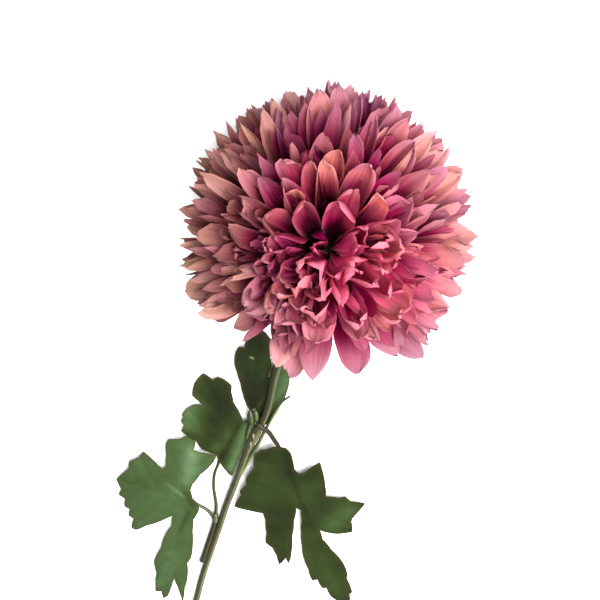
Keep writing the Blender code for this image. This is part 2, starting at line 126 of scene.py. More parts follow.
def smoothRoute(route, spacing):
    # Catmull-Rom: points about this far apart on the smooth curve through the route's own points
    points = np.array(route, float)
    ends = np.vstack([2 * points[0] - points[1], points, 2 * points[-1] - points[-2]])
    found = []
    for before, here, there, after in zip(ends, ends[1:], ends[2:], ends[3:]):
        count = max(1, round(float(np.linalg.norm((there - here)[:3])) / spacing))
        t = (np.arange(count) / count)[:, None]
        found.append(0.5 * (2 * here + (there - before) * t
                            + (2 * before - 5 * here + 4 * there - after) * t**2
                            + (3 * here - before - 3 * there + after) * t**3))
    return np.vstack([*found, points[-1:]])


def aboveSurface(height, least, ease=1.2):
    # a height that eases to the least one instead of passing below it
    lift = height - least
    return least + 0.5 * (lift + np.sqrt(lift**2 + ease**2))


print("camera, floor and light")
view = {
    "mmPerPixel": 0.483, "distance": 700.0, "tilt": 32.0, "turn": 18.0,
    # the bloom's middle, and the pixels that it stands right of and above the picture's middle
    "middle": (0.0, 0.0, 48.0), "aside": (26.0, 69.0), "sensor": 36.0, "pictureWidth": 600.0,
}
viewTurn = Matrix.Rotation(math.radians(view["turn"]), 3, "Z")
tiltSine, tiltCosine = math.sin(math.radians(view["tilt"])), math.cos(math.radians(view["tilt"]))
viewRight = viewTurn @ Vector((1, 0, 0))
viewUp = viewTurn @ Vector((0, tiltCosine, -tiltSine))
viewBack = viewTurn @ Vector((0, tiltSine, tiltCosine))
aside = (viewRight * view["aside"][0] + viewUp * view["aside"][1]) * view["mmPerPixel"]
aim = Vector(view["middle"]) - aside
camera = bpy.data.objects.new("camera", bpy.data.cameras.new("camera"))
camera.matrix_world = Matrix((viewRight, viewUp, viewBack)).transposed().to_4x4()
camera.matrix_world.translation = (aim + viewBack * view["distance"] + Vector(shift)) * mm
camera.data.sensor_width = view["sensor"]
camera.data.lens = view["sensor"] * view["distance"] / (view["mmPerPixel"] * view["pictureWidth"])
bpy.context.scene.collection.objects.link(camera)
bpy.context.scene.camera = camera

studio = {
    "world": ("#ffffff", 0.9), "floor": "#fafafa", "gamma": 0.92,
    # name, place from the bloom in m to the right, up and back, size in m, watts
    "lamps": (("keyLight", (0.3, -0.22, 1.0), 0.7, 44.0), ("fillLight", (-0.5, 0.4, 0.9), 0.9, 7.0),
              ("lowLight", (0.75, -0.75, 0.6), 0.6, 6.0)),
}
world = bpy.data.worlds.new("softRoom")
world.use_nodes = True
world.node_tree.nodes["Background"].inputs["Color"].default_value = linearColour(studio["world"][0])
world.node_tree.nodes["Background"].inputs["Strength"].default_value = studio["world"][1]
bpy.context.scene.world = world
bpy.context.scene.view_settings.view_transform = "Standard"
bpy.context.scene.view_settings.gamma = studio["gamma"]
for lampName, (toRight, toUp, toBack), size, watts in studio["lamps"]:
    lamp = bpy.data.objects.new(lampName, bpy.data.lights.new(lampName, "AREA"))
    lamp.data.size = size
    lamp.data.energy = watts
    way = viewRight * toRight + viewUp * toUp + viewBack * toBack
    lamp.location = (Vector(view["middle"]) + Vector(shift)) * mm + way
    lamp.rotation_euler = way.to_track_quat("Z", "Y").to_euler()
    bpy.context.scene.collection.objects.link(lamp)

# painted board: a pale, dull surface that takes a faint shadow and shows no grain
floorPaint, tree = newMaterial("paintedBoard")
floorShader = addNode(tree, "BsdfPrincipled", {
    "Base Color": studio["floor"], "Roughness": 0.9, "Specular IOR Level": 0.2})
addNode(tree, "OutputMaterial", {"Surface": floorShader})
floorMesh = bpy.data.meshes.new("paleFloor")
floorMesh.from_pydata([(-4, -4, 0), (4, -4, 0), (4, 4, 0), (-4, 4, 0)], [], [(0, 1, 2, 3)])
floorMesh.materials.append(floorPaint)
floor = bpy.data.objects.new("paleFloor", floorMesh)
bpy.context.scene.collection.objects.link(floor)

print("petals")
bloom = {
    "centre": (0.0, 0.0, 48.0), "core": (2.9, -8.9, 53.8), "tilt": 32.0, "turn": 18.0,
    "radius": 72.0, "coreRadius": 17.0, "coreRings": 12, "coreSectors": 24,
    "outerFrom": 62.0, "outerOver": 20.0,  # degrees from the axis where the outer petals begin
    "width": 10.5, "rootWidth": 3.4, "leastHalf": 0.22, "rootSink": 4.5, "thickness": 0.36,
    "leastHeight": 0.55,
    "partingTurn": 141.0, "partingPush": 15.0, "partingSpread": 26.0,
    "lastFromCore": 132.5, "steepest": 112.0, "steepShare": 0.7,
    "valleyPolar": 48.0, "valleyPush": 7.0, "valleySpread": 11.0,
    "incurve": 0.22, "incurvePlace": -0.42, "incurveSpread": 0.3, "incurveLastPolar": 60.0,
    "fringeTurn": 178.0, "fringeSpread": 45.0, "fringeEvery": 3, "fringeShare": 0.68, "fringeWidth": 1.15,
    # mm from the bloom's axis: the tuft of pale petals above the hollow (lowest, highest, aside), the part
    # where all petals hang (below, aside), and openings between hanging petals (below, place, half width)
    "tuft": (15.0, 46.0, 28.0), "hanging": (-46.0, 45.0), "openings": ((-22.0, 5.0, 6.5), (-22.0, 25.0, 5.0)),
    "detailSeed": 31, "hollowPolar": 17.0, "innerPolar": 36.0, "apart": 7.5, "apartTuft": 1.6,
    # the dye's streaks and the cloth's pleats: mm across and mm along a blade of this length
    "blade": 55.0, "streak": (1.3, 42.0), "pleat": (0.4, 68.0),
    "alongSteps": 15, "acrossSteps": 9,  # rows and columns; the many outer petals take every second one
}
# groups of petals, in degrees, with turn and curl in radians. The first two have shares of the bloom's
# radius and petal width, and what the petals by the hollow lose of both; the others have mm. Where a
# twist starts with 0 it is a mean and a spread, otherwise a lowest and a highest value.
petalGroups = {
    "main": {
        "seed": 7, "count": 180, "polar": (9.0, 130.0), "polarScatter": 2.5, "turn": 0.0,
        "turnScatter": 4.0, "reach": (0.93, 1.0), "width": (0.88, 1.1), "inner": (0.38, 0.35),
        "twist": (-22.0, 22.0), "bow": (-5.0, 2.0), "curl": (-0.08, 0.1)},
    "filling": {
        "seed": 32, "count": 560, "polar": (24.0, 118.0), "polarScatter": 4.0, "turn": 1.9,
        "turnScatter": 8.0, "reach": (0.78, 1.0), "width": (0.5, 0.92), "inner": (0.0, 0.0),
        "twist": (0.0, 32.0), "bow": (-5.0, 4.0), "curl": (-0.25, 0.2)},
    "backing": {
        "seed": 33, "count": 40, "polar": (13.0, 44.0), "turn": 0.6, "reach": (32.0, 42.0), "further": 16.0,
        "width": (6.5, 10.0), "twist": (-40.0, 40.0), "bow": (-4.0, 4.0), "curl": (-0.2, 0.1)},
    "between": {
        "seed": 34, "count": 56, "polar": (20.0, 54.0), "turn": (-1.9, 1.9), "reach": (50.0, 59.0),
        "width": (8.0, 12.0), "twist": (0.0, 24.0), "bow": (-4.0, 4.0), "curl": (-0.3, 0.12)},
}
# petals set one by one about the hollow: tip right of, above and before the core in mm, width in mm,
# roll in degrees, curl, lean in mm, cup, point (0.5 round to 0.9 pointed), warm, violet and pale shares
placedPetals = (
    (-1, 39, 61, 11.3, 25, -0.13, -2, 0.6, 0.6, 0.75, 0.05, 0.75),
    (-7, 38, 59, 10.3, -25, -0.14, 0, 0.5, 0.55, 0.55, 0.1, 0.38),
    (5, 44, 58, 11.3, -20, -0.16, -3, 0.6, 0.6, 0.85, 0.1, 0.68),
    (17, 38, 60, 12.4, -15, -0.14, 0, 0.6, 0.6, 0.35, 0.2, 0.75),
    (23, 24, 61, 10.8, 40, -0.11, 3, 0.7, 0.5, 0.6, 0.1, 1.27),
    (9, 26, 63, 11.9, 10, -0.09, 0, 0.7, 0.6, 0.7, 0.1, 0.45),
    (6, 20, 61, 13, -5, -0.07, 0, 0.9, 0.6, 0.3, 0, 0.45),
    (-14, 26, 62, 10.5, -60, -0.18, -5, 0.5, 0.85, 0.7, 0.1, 1.27),
    (-20, 30, 59, 9.7, 35, 0, 0, 0.6, 0.7, 0.1, 0.6, 0.11),
    (-31, 32, 55, 11.9, -10, 0, 0, 0.5, 0.8, 0.1, 0.7, 0.09),
    (-19, 40, 58, 11.3, 0, -0.16, 0, 0.7, 0.35, 0.3, 0.3, 0.14),
    (-32, 40, 53, 10, 30, 0, 0, 0.4, 0.9, 0.1, 0.8, 0.09),
    (-39, 35, 50, 9, 0, 0.1, 0, 0.6, 0.5, 0.4, 0.2, 0.23),
    (-40, 22, 52, 10.8, -20, 0.1, 0, 0.5, 0.8, 0.4, 0.2, 0.2),
    (-39, 16, 54, 9.7, 75, 0, 4, 0.5, 0.5, 0.4, 0.2, 0.25),
    (-32, 15, 56, 9.7, 80, -0.13, 3, 0.6, 0.6, 0.4, 0.2, 0.29),
    (-29, 13, 58, 13, 20, -0.11, 0, 0.7, 0.6, 0.3, 0.3, 0.34),
    (-12, 20, 59, 11.4, -20, -0.15, -2, 0.9, 0.6, 0.3, 0.1, 0.6),
    (-6, 1, 46, 7, 0, -0.05, 0, 1, 0.6, 0.2, 0.1, 0.34),
    (-29, 2, 57, 7, 0, -0.2, 0, 0.8, 0.5, 0.4, 0.2, 0.32),
    (-27, 2, 56, 9, 50, -0.1, 0, 0.6, 0.6, 0.3, 0.4, 0.23),
    (-22, 7, 55, 9.7, -40, 0, 0, 0.5, 0.9, 0.2, 0.8, 0.14),
    (-29, -3, 58, 8.8, -30, -0.19, 0, 0.6, 0.9, 0.3, 0.2, 0.43),
    (-33, -8, 57, 8.8, -20, -0.22, 0, 0.6, 0.9, 0.3, 0.3, 0.23),
    (-21, -12, 61, 9.7, 0, -0.17, 0, 1, 0.7, 0.3, 0.1, 0.47),
    (-21, -21, 58, 9.7, 0, -0.22, 0, 1, 0.7, 0.9, 0, 0.51),
    (-29, -26, 52, 11, 0, -0.16, 0, 0.5, 0.8, 0.9, 0, 0.81),
    (-22, -34, 48, 12, 0, 0.1, 0, 0.5, 0.7, 0.4, 0.5, 0.51),
    (-13, -9, 63, 8.8, -40, -0.11, 3, 0.9, 0.6, 0.3, 0.1, 0.68),
    (-5, -8, 60, 11.4, 170, -0.07, 0, 0.9, 0.6, 0.3, 0.1, 0.42),
    (-3, -21, 60, 9.7, 60, -0.15, 0, 0.8, 0.6, 0.4, 0.2, 0.85),
    (-14, -26, 56, 9.7, 30, -0.22, -2, 0.8, 0.7, 0.6, 0.1, 0.59),
    (-5, -29, 55, 12.3, 0, -0.22, 0, 1, 0.5, 0.5, 0.1, 0.55),
    (-5, -41, 46, 14, 0, 0, 0, 0.5, 0.7, 0.4, 0.3, 0.42),
    (-26, -52, 23, 12, 0, 0.1, -2, 0.4, 0.7, 0.7, 0, 0.85),
    (-16, -59, 4, 9, 10, 0.1, 0, 0.4, 0.5, 0.6, 0, 0.81),
    (-6, -59, 18, 13, 0, 0.1, 0, 0.4, 0.8, 0.3, 0.1, 0.34),
    (15, 10, 60, 8.5, 30, -0.11, 2, 0.8, 0.5, 0.1, 0.5, 0.68),
    (30, 13, 60, 10.8, 45, -0.12, 0, 0.7, 0.8, 0.1, 0.4, 0.75),
    (39, 8, 56, 11.9, 20, 0, 0, 0.5, 0.95, 0.1, 0.4, 0.34),
    (33, 1, 57, 13, -20, -0.12, 0, 0.6, 0.5, 0.7, 0.1, 0.42),
    (26, -9, 58, 8.8, -60, -0.2, 0, 0.7, 0.5, 0.8, 0, 0.85),
    (12, 7, 58, 8.5, 120, -0.09, 0, 0.7, 0.7, 0.2, 0.5, 0.42),
    (14, 1, 59, 7.9, 130, -0.1, 0, 0.7, 0.6, 0.2, 0.2, 0.51),
    (12, -6, 62, 9.7, 150, -0.09, 0, 0.9, 0.5, 0.8, 0, 0.68),
    (4, -11, 58, 9.7, 0, -0.09, 0, 1.1, 0.7, 0.3, 0, 0.42),
    (10, -11, 62, 8.8, 170, -0.1, 0, 0.9, 0.5, 0.3, 0.1, 0.51),
    (20, -15, 61, 10.6, 0, -0.17, 0, 1, 0.5, 0.3, 0.3, 0.59),
    (28, -19, 57, 10.6, -20, -0.25, 0, 0.8, 0.5, 0.4, 0.2, 0.59),
    (15, -33, 52, 11.4, 0, -0.26, 0, 0.7, 0.6, 0.5, 0.5, 0.59),
    (32, -31, 47, 10.6, 0, -0.35, 0, 0.6, 0.6, 0.9, 0, 0.59),
    (15, -57, 18, 14.5, 0, 0.1, 0, 0.4, 0.7, 0.3, 0.2, 0.34),
    (15, -40, 45, 12, 0, -0.2, 0, 0.5, 0.9, 0.5, 0.2, 0.42),
    (22, -41, 39, 9, 20, 0, 0, 0.4, 0.8, 0.5, 0, 0.85),
    (32, -48, 26, 13, 0, 0.1, 0, 0.4, 0.7, 0.1, 0.4, 0.42),
    (45, -51, 6, 13, 0, 0.1, 0, 0.4, 0.7, 0.1, 0.4, 0.34),
    (49, -42, 6, 10, 0, 0.1, 0, 0.4, 0.5, 0.5, 0.1, 0.77),
    (56, -28, 23, 14, -10, 0, 0, 0.4, 0.95, 0.6, 0.3, 0.68),
    (38, -24, 47, 14, 0, -0.2, 0, 0.6, 0.6, 0.7, 0.1, 0.72),
    (38, 20, 54, 13, 15, 0, 0, 0.5, 0.9, 0.1, 0.5, 0.45),
    (43, 17, 53, 10.8, -20, 0, 0, 0.5, 0.9, 0.2, 0.3, 0.6),
    (9, 57, 47, 9, 50, 0, 0, 0.5, 0.95, 0.2, 0.3, 0.26),
    (24, 61, 42, 10, -10, 0, 0, 0.6, 0.5, 0.3, 0.3, 0.26),
    (-4, 52, 50, 12, 0, 0, 0, 0.4, 0.6, 0.1, 0.4, 0.45),
    (-4, 74, 34, 13, 0, 0, 0, 0.4, 0.6, 0.5, 0.5, 0.42),
    (7, 76, 31, 10.5, 10, 0, 0, 0.5, 0.5, 0.2, 0.4, 0.34),
    (16, 71, 36, 9, -20, 0, 0, 0.5, 0.7, 0.1, 0.8, 0.26),
    (31, 66, 35, 9, 30, 0, 0, 0.5, 0.7, 0.1, 0.8, 0.34),
    (35, 61, 36, 9, 20, 0, 0, 0.6, 0.6, 0.95, 0, 0.34),
    (39, 49, 43, 13, -10, 0, 0, 0.5, 0.6, 0.5, 0.1, 0.26),
    (44, 37, 48, 13, 10, 0, 0, 0.4, 0.7, 0.5, 0.1, 0.26),
    (48, 54, 33, 10, 0, 0, 0, 0.5, 0.7, 0.6, 0, 0.77), (55, 47, 30, 11, 0, 0, 0, 0.5, 0.6, 0.4, 0.1, 0.77),
    (62, 36, 27, 10, 0, 0, 0, 0.5, 0.6, 0.7, 0, 0.77),
    (-67, -20, 5, 11, 0, 0.1, 0, 0.5, 0.5, 0.4, 0, 0.51),
    (-58, -28, 18, 12, 0, 0.1, 0, 0.5, 0.5, 0.4, 0, 0.51),
    (-38, -26, 45, 14, 0, 0.1, 0, 0.5, 0.4, 0.2, 0.2, 0.26),
    (-69, -7, 8, 10, -20, 0, 0, 0.5, 0.9, 0.4, 0.1, 0.23),
    (-68, 3, 21, 9, 10, 0, 0, 0.5, 0.9, 0.3, 0.1, 0.18),
)


def bloomDirections():
    # the axis that the bloom faces along, away * sin tilt + up * cos tilt, and two ways square to it
    tilt, turn = math.radians(bloom["tilt"]), math.radians(bloom["turn"])
    up = np.array((0.0, 0.0, 1.0))
    away = np.array((-math.sin(turn), math.cos(turn), 0.0))
    axis = away * math.sin(tilt) + up * math.cos(tilt)
    across = away * math.cos(tilt) - up * math.sin(tilt)
    return axis, across, np.cross(axis, across)


bloomAxis, bloomAcross, bloomSide = bloomDirections()
bloomCentre = np.array(bloom["centre"])
bloomCore = np.array(bloom["core"])
coreOffset = bloomCore - bloomCentre


def spokes(polar, turn):
    # unit ways: cos polar * axis + sin polar * (cos turn * across + sin turn * side)
    out = np.cos(turn)[..., None] * bloomAcross + np.sin(turn)[..., None] * bloomSide
    return np.cos(polar)[..., None] * bloomAxis + np.sin(polar)[..., None] * out


def seenFromCore(tip):
    # polar angle acos(tip . axis / length), turn atan2(tip . side, tip . across) and length of tips
    length = np.linalg.norm(tip, axis=1)
    polar = np.arccos(np.clip(tip @ bloomAxis / length, -1.0, 1.0))
    return polar, np.arctan2(tip @ bloomSide, tip @ bloomAcross), length


def arranged(polar, turn):
    # the outer petals are pushed off one turn, where the bloom lies open, and off a dark valley across
    # its upper half: push * sign(distance) * exp(-(distance / spread)^2)
    aside = (np.degrees(turn) - bloom["partingTurn"] + 180.0) % 360.0 - 180.0
    outer = np.clip((np.degrees(polar) - bloom["outerFrom"]) / bloom["outerOver"], 0.0, 1.0)
    push = bloom["partingPush"] * np.sign(aside) * np.exp(-((aside / bloom["partingSpread"]) ** 2))
    turn = turn + np.radians(outer * push)
    beyond = np.degrees(polar) - bloom["valleyPolar"]
    valley = bloom["valleyPush"] * np.sign(beyond) * np.exp(-((beyond / bloom["valleySpread"]) ** 2))
    return polar + np.radians(valley * np.clip(np.cos(turn), 0.0, 1.0)), turn


def inFringe(polar, turn):
    # 1 for the outer petals that hang towards the stem, falling off as exp(-(distance / spread)^6)
    aside = (np.degrees(turn) - bloom["fringeTurn"] + 180.0) % 360.0 - 180.0
    outer = np.clip((np.degrees(polar) - bloom["outerFrom"]) / bloom["outerOver"], 0.0, 1.0)
    return outer * np.exp(-((aside / bloom["fringeSpread"]) ** 6))


def fromCore(polar, turn, reach):
    # the same tips as seen from the core, reach * way - offset, after a way that slopes past the steepest
    # is set to steepest + share * (slope - steepest)
    way = spokes(polar, turn)
    steep = np.arccos(np.clip(way[:, 2], -1.0, 1.0))
    limit = math.radians(bloom["steepest"])
    eased = np.where(steep > limit, limit + bloom["steepShare"] * (steep - limit), steep)
    way[:, :2] *= (np.sin(eased) / np.sin(steep))[:, None]
    way[:, 2] = np.cos(eased)
    polar, turn, length = seenFromCore(reach[:, None] * way - coreOffset)
    return np.minimum(polar, math.radians(bloom["lastFromCore"])), turn, length


def curled(polar, turn, loose):
    # radians that a tip curls out (plus) or in: loose - incurve * exp(-under^2) * exp(-(polar / last)^4)
    under = (np.sin(polar) * np.cos(turn) - bloom["incurvePlace"]) / bloom["incurveSpread"]
    near = np.exp(-((np.degrees(polar) / bloom["incurveLastPolar"]) ** 4))
    return loose - bloom["incurve"] * np.exp(-(under**2)) * near


def spiralPetals(group, isMain):
    # a golden spiral, even in the cosine of the polar angle, where those by the hollow are smaller by
    # exp(-(polar / hollow)^2); the main ones are the CAD model's own, and towards the stem every third of
    # them is long and broad while the others are short
    draw = np.random.default_rng(group["seed"])
    count = group["count"]
    index = np.arange(count)
    first, last = (math.cos(math.radians(polar)) for polar in group["polar"])
    polar = np.arccos(first + (last - first) * (index + 0.5) / count)
    polar = polar + np.radians(draw.uniform(-group["polarScatter"], group["polarScatter"], count))
    turn = np.radians(draw.uniform(-group["turnScatter"], group["turnScatter"], count))
    polar, turn = arranged(polar, index * goldenAngle + group["turn"] + turn)
    inner = np.exp(-((np.degrees(polar) / bloom["hollowPolar"]) ** 2))
    reach = bloom["radius"] * (1.0 - group["inner"][0] * inner) * draw.uniform(*group["reach"], count)
    width = bloom["width"] * (1.0 - group["inner"][1] * inner) * draw.uniform(*group["width"], count)
    if isMain:
        long, fringe = index % bloom["fringeEvery"] == 0, inFringe(polar, turn)
        reach = reach * np.where(long, 1.0, 1.0 - (1.0 - bloom["fringeShare"]) * fringe)
        width = width * np.where(long, 1.0 + (bloom["fringeWidth"] - 1.0) * fringe, 1.0)
    twist = np.radians((draw.uniform if isMain else draw.normal)(*group["twist"], count))
    bow = np.radians(draw.uniform(*group["bow"], count))
    curl = curled(polar, turn, draw.uniform(*group["curl"], count))
    return np.array([*fromCore(polar, turn, reach), width, twist, bow, curl])


def backingPetals(group):
    # short petals about the hollow, behind those set one by one, darkened later as the hollow's painted
    # shade; polar grows as a square root
    draw = np.random.default_rng(group["seed"])
    count = group["count"]
    index = np.arange(count)
    first, last = group["polar"]
    polar = np.radians(first + (last - first) * np.sqrt((index + 0.5) / count))
    reach = draw.uniform(*group["reach"], count) + group["further"] * index / count
    twist = np.radians(draw.uniform(*group["twist"], count))
    width = draw.uniform(*group["width"], count)
    bow = np.radians(draw.uniform(*group["bow"], count))
    return np.array([polar, index * goldenAngle + group["turn"], reach, width, twist, bow,
                     draw.uniform(*group["curl"], count)])


def betweenPetals(group):
    # crumpled petals between those set one by one, over the half below the hollow; polar as share^0.7
    draw = np.random.default_rng(group["seed"])
    count = group["count"]
    first, last = group["polar"]
    polar = np.radians(first + (last - first) * draw.uniform(0, 1, count) ** 0.7)
    turn = math.pi + draw.uniform(*group["turn"], count)
    reach, width = draw.uniform(*group["reach"], count), draw.uniform(*group["width"], count)
    twist = np.radians(draw.normal(*group["twist"], count))
    bow = np.radians(draw.uniform(*group["bow"], count))
    return np.array([polar, turn, reach, width, twist, bow, draw.uniform(*group["curl"], count)])


# every petal's plan: polar angle, turn and reach of its tip, width, twist, bow and curl
main, filling = spiralPetals(petalGroups["main"], True), spiralPetals(petalGroups["filling"], False)
between, backing = betweenPetals(petalGroups["between"]), backingPetals(petalGroups["backing"])
placed = np.array(placedPetals, float).T
placedTips = placed[:3].T @ np.array([-bloomSide, bloomAcross, bloomAxis])
placedPlan = np.array([*seenFromCore(placedTips), placed[3], np.radians(placed[4]), placed[3] * 0, placed[5]])
lowest, highest, aside = bloom["tuft"]
tuft = (placed[1] > lowest) & (placed[1] < highest) & (np.abs(placed[0]) < aside)


def leftFree(plan, share, innerPolar=bloom["innerPolar"]):
    # petals outside the inner part that keep this share of the distance from those set one by one,
    # more from the upper tuft, and don't hang into the fringe or its openings
    tips = plan[2][:, None] * spokes(plan[0], plan[1])
    gap = np.linalg.norm(tips[:, None] - placedTips[None], axis=-1) / np.where(tuft, bloom["apartTuft"], 1.0)
    polar, turn, reach = seenFromCore(tips + coreOffset)
    toRight, toUp = -tips @ bloomSide, tips @ bloomAcross
    hanging = (inFringe(polar, turn) > 0.5) & (reach > 0.8 * bloom["radius"])
    below, aside = bloom["hanging"]
    for below, place, halfWidth in ((below, 0.0, aside), *bloom["openings"]):
        hanging |= (toUp < below) & (np.abs(toRight - place) < halfWidth)
    apart = gap.min(axis=1) > share * bloom["apart"]
    return plan[:, (plan[0] > math.radians(innerPolar)) & apart & ~hanging]


between = leftFree(between, 0.4, 0.0)  # the narrower a group's petals, the closer they may come
plan = np.hstack([placedPlan, between, leftFree(main, 1.0), leftFree(filling, 0.85), backing])
petalCount, placedCount = plan.shape[1], placedPlan.shape[1]
innerCount, lastOuter = placedCount + between.shape[1], petalCount - backing.shape[1]
tipWay = coreOffset + plan[2][:, None] * spokes(plan[0], plan[1])
towardsRight, towardsTop = (tipWay @ np.array(way) / bloom["radius"] for way in (viewRight, viewUp))

petalLook = {
    # spread of lean and stray in mm and of roll in radians
    "scatter": {"lean": 2.4, "roll": 0.6, "stray": 3.0},
    # lowest and highest share of the half width, and how round (low) or pointed a tip is
    "blade": {"fold": (0.05, 0.9), "ruffle": (0.0, 0.16), "cup": (0.2, 0.7), "point": (0.3, 0.72)},
    # base, more to the right, more to the top, spread; the slopes stand for light from the lower right:
    # painted light on the right, painted shade at the upper left
    "dye": {"warm": (0.32, 0.25, 0.0, 0.18), "violet": (0.25, -0.2, 0.35, 0.2),
            "pale": (0.22, 0.3, -0.1, 0.26), "mutedAndShade": (0.15, -0.85, 0.1, 0.12)},
    "wave": (0.05, 0.34), "bluntest": 0.42, "narrowest": 0.66, "hangingCut": 0.24,
    # those set one by one, those between them, those on the dark left side and those under the hollow
    "placedRoll": 0.25, "placedBlunt": 0.3, "placedViolet": 0.6, "betweenCup": 0.35,
    "darkNarrow": 0.1, "darkCup": 0.4, "underRuffle": (0.05, 0.36), "underWave": (0.1, 0.3),
    "smoothUnder": -44.0, "smooth": {"fold": 0.12, "ruffle": 0.04, "wave": 0.08},
    # the region lit the most: mm right of and above the bloom's middle, sizes in mm, and what it adds
    "litPlace": (34.0, -26.0), "litSize": (24.0, 26.0), "litLift": 0.34, "litPale": 0.35, "litFresh": 0.9,
    "litBright": 1.25, "freshSize": 44.0,
    # the petals that hang lowest: what changes in their dye, and the most that it may come to
    "low": (("violet", 0.22, 9.0), ("warm", -0.35, 1.0), ("pale", -0.25, 1.3), ("mutedAndShade", 0.22, 1.0)),
}
draw = np.random.default_rng(bloom["detailSeed"])
shape = {key: draw.normal(0.0, spread, petalCount) for key, spread in petalLook["scatter"].items()}
shape.update({key: draw.uniform(*ends, petalCount) for key, ends in petalLook["blade"].items()})
for key, (base, toRight, toTop, spread) in petalLook["dye"].items():
    sloped = base + toRight * towardsRight + toTop * towardsTop
    shape[key] = np.clip(sloped + draw.normal(0, spread, petalCount), 0, 1)
for key, row in (("lean", 6), ("cup", 7), ("point", 8), ("warm", 9), ("violet", 10), ("pale", 11)):
    shape[key][:placedCount] = placed[row]
shape["roll"][:placedCount] *= petalLook["placedRoll"]
shape["stray"][:placedCount] = 0.0
shape["pale"][lastOuter:] = 0.0
shape["lot"] = draw.uniform(0, 1, petalCount)
shape["blunt"] = petalLook["bluntest"] * shape["lot"]
shape["blunt"][:placedCount] *= petalLook["placedBlunt"]

# the outer petals in the fringe are cut short, and those on the dark left side are narrower and cupped
hanging = inFringe(*seenFromCore(tipWay)[:2])[innerCount:lastOuter]
plan[2, innerCount:lastOuter] *= 1.0 - petalLook["hangingCut"] * (hanging > 0.4)
darkSide = np.clip(-towardsRight[innerCount:], 0.0, 1.0)
narrowed = draw.uniform(petalLook["narrowest"], 1.0, petalCount - innerCount)
plan[3, innerCount:] *= narrowed - petalLook["darkNarrow"] * darkSide
shape["cup"][innerCount:] += petalLook["darkCup"] * darkSide
shape["cup"][placedCount:innerCount] += petalLook["betweenCup"]

# those under the hollow are ruffled and waved, the long ones that hang from it smooth
under = towardsTop[:innerCount] < 0.0
shape["ruffle"][:innerCount] += np.where(under, draw.uniform(*petalLook["underRuffle"], innerCount), 0.0)
shape["wave"] = draw.uniform(*petalLook["wave"], petalCount)
shape["wave"][:innerCount] += np.where(under, draw.uniform(*petalLook["underWave"], innerCount), 0.0)
for key, value in petalLook["smooth"].items():
    shape[key][:placedCount][placed[1] < petalLook["smoothUnder"]] = value

# lift brightens a petal's dye: a little at the right, less at the top and at the very bottom; apart from
# its random spread it is painted light and shade, lighter on the right, under the hollow and along the
# upper left's silhouette, darker at the top
shape["lift"] = np.clip(0.03 + 0.03 * towardsRight - 0.12 * towardsTop, -0.12, 0.06)
shape["lift"] -= 0.12 * np.clip(-towardsTop - 0.55, 0.0, 1.0)
shape["lift"] += np.clip(-towardsRight, 0.0, 1.0) * (0.3 * np.clip(towardsTop, 0.0, 1.0) - 0.06)
shape["lift"] += draw.normal(0.0, 0.05, petalCount)
shape["lift"][:innerCount] += np.where(under, 0.14, 0.02)
shape["lift"][:placedCount] += np.where(tuft, 0.1, 0.0)
# the backing petals deep in the hollow are darker: painted shade
shape["lift"][lastOuter:] -= 0.12
# inner petals keep all their dull brown, painted shade, only on the far left, none under the hollow and half
# elsewhere
shape["mutedAndShade"][:innerCount] *= np.where(towardsRight[:innerCount] < -0.55, 1.0, np.where(under, 0.0, 0.5))
shape["violet"][:placedCount] *= petalLook["placedViolet"]

# fresher dye lies round the hollow and below it, more of it on the right as painted light; one region at the
# lower right is painted as lit the most, and bright paints the whole right side lighter: exp(-(distance /
# size)^3) from the axis and exp(-(distance / size)^2) from that region's middle
fromAxis = np.hypot((tipWay - coreOffset) @ bloomAcross, tipWay @ bloomSide)
shape["freshAndLit"] = np.clip(0.75 - 0.9 * towardsTop, 0.0, 1.0)
shape["freshAndLit"] *= np.clip(0.75 + 1.2 * towardsRight, 0.2, 1.0)
shape["freshAndLit"] *= np.exp(-((fromAxis / petalLook["freshSize"]) ** 3))
tipsSeen = tipWay @ np.array((viewRight, viewUp)).T - petalLook["litPlace"]
litNear, litWide = (np.exp(-(tipsSeen**2).sum(axis=1) / size**2) for size in petalLook["litSize"])
shape["lift"][:innerCount] += petalLook["litLift"] * litWide[:innerCount]
shape["pale"][:innerCount] += petalLook["litPale"] * litWide[:innerCount]
shape["freshAndLit"] = np.maximum(shape["freshAndLit"], petalLook["litFresh"] * litNear)
shape["bright"] = np.maximum(np.clip(towardsRight, 0.0, 1.0), petalLook["litBright"] * litWide)

# the petals that hang lowest are mauve and dull
low = np.clip(-2.2 * towardsTop - 1.1, 0.0, 1.0)
for key, more, most in petalLook["low"]:
    shape[key] = np.clip(shape[key] + more * low, 0.0, most)
shape["lift"] -= 0.08 * low

# lowest and highest value of what each petal has of its own, in the order that they are drawn
petalDetail = {
    "widest": (0.55, 0.84), "broad": (0.98, 1.16), "taper": (3.6, 4.6), "uneven": (-0.16, 0.16),
    "nick": (0.0, 0.07), "nicks": (2.0, 4.5), "nickPlace": (0, 1),
    "slant": (-2.6, 2.6), "tooth": (0.0, 1.3), "teeth": (1.4, 2.8), "toothPlace": (0, 6),
    "waves": (1.2, 2.8), "wavePlace": (0, 1), "waveSides": (0.4, 2.6),
    "creases": (2.2, 3.6), "creasePlace": (0, 6), "skew": (-0.45, 0.45),
    "swell": (0.0, 0.14), "swells": (0.8, 1.8), "swellPlace": (0, 1),
    "flip": (0.0, 0.5), "tipAside": (-2.4, 2.4),
}


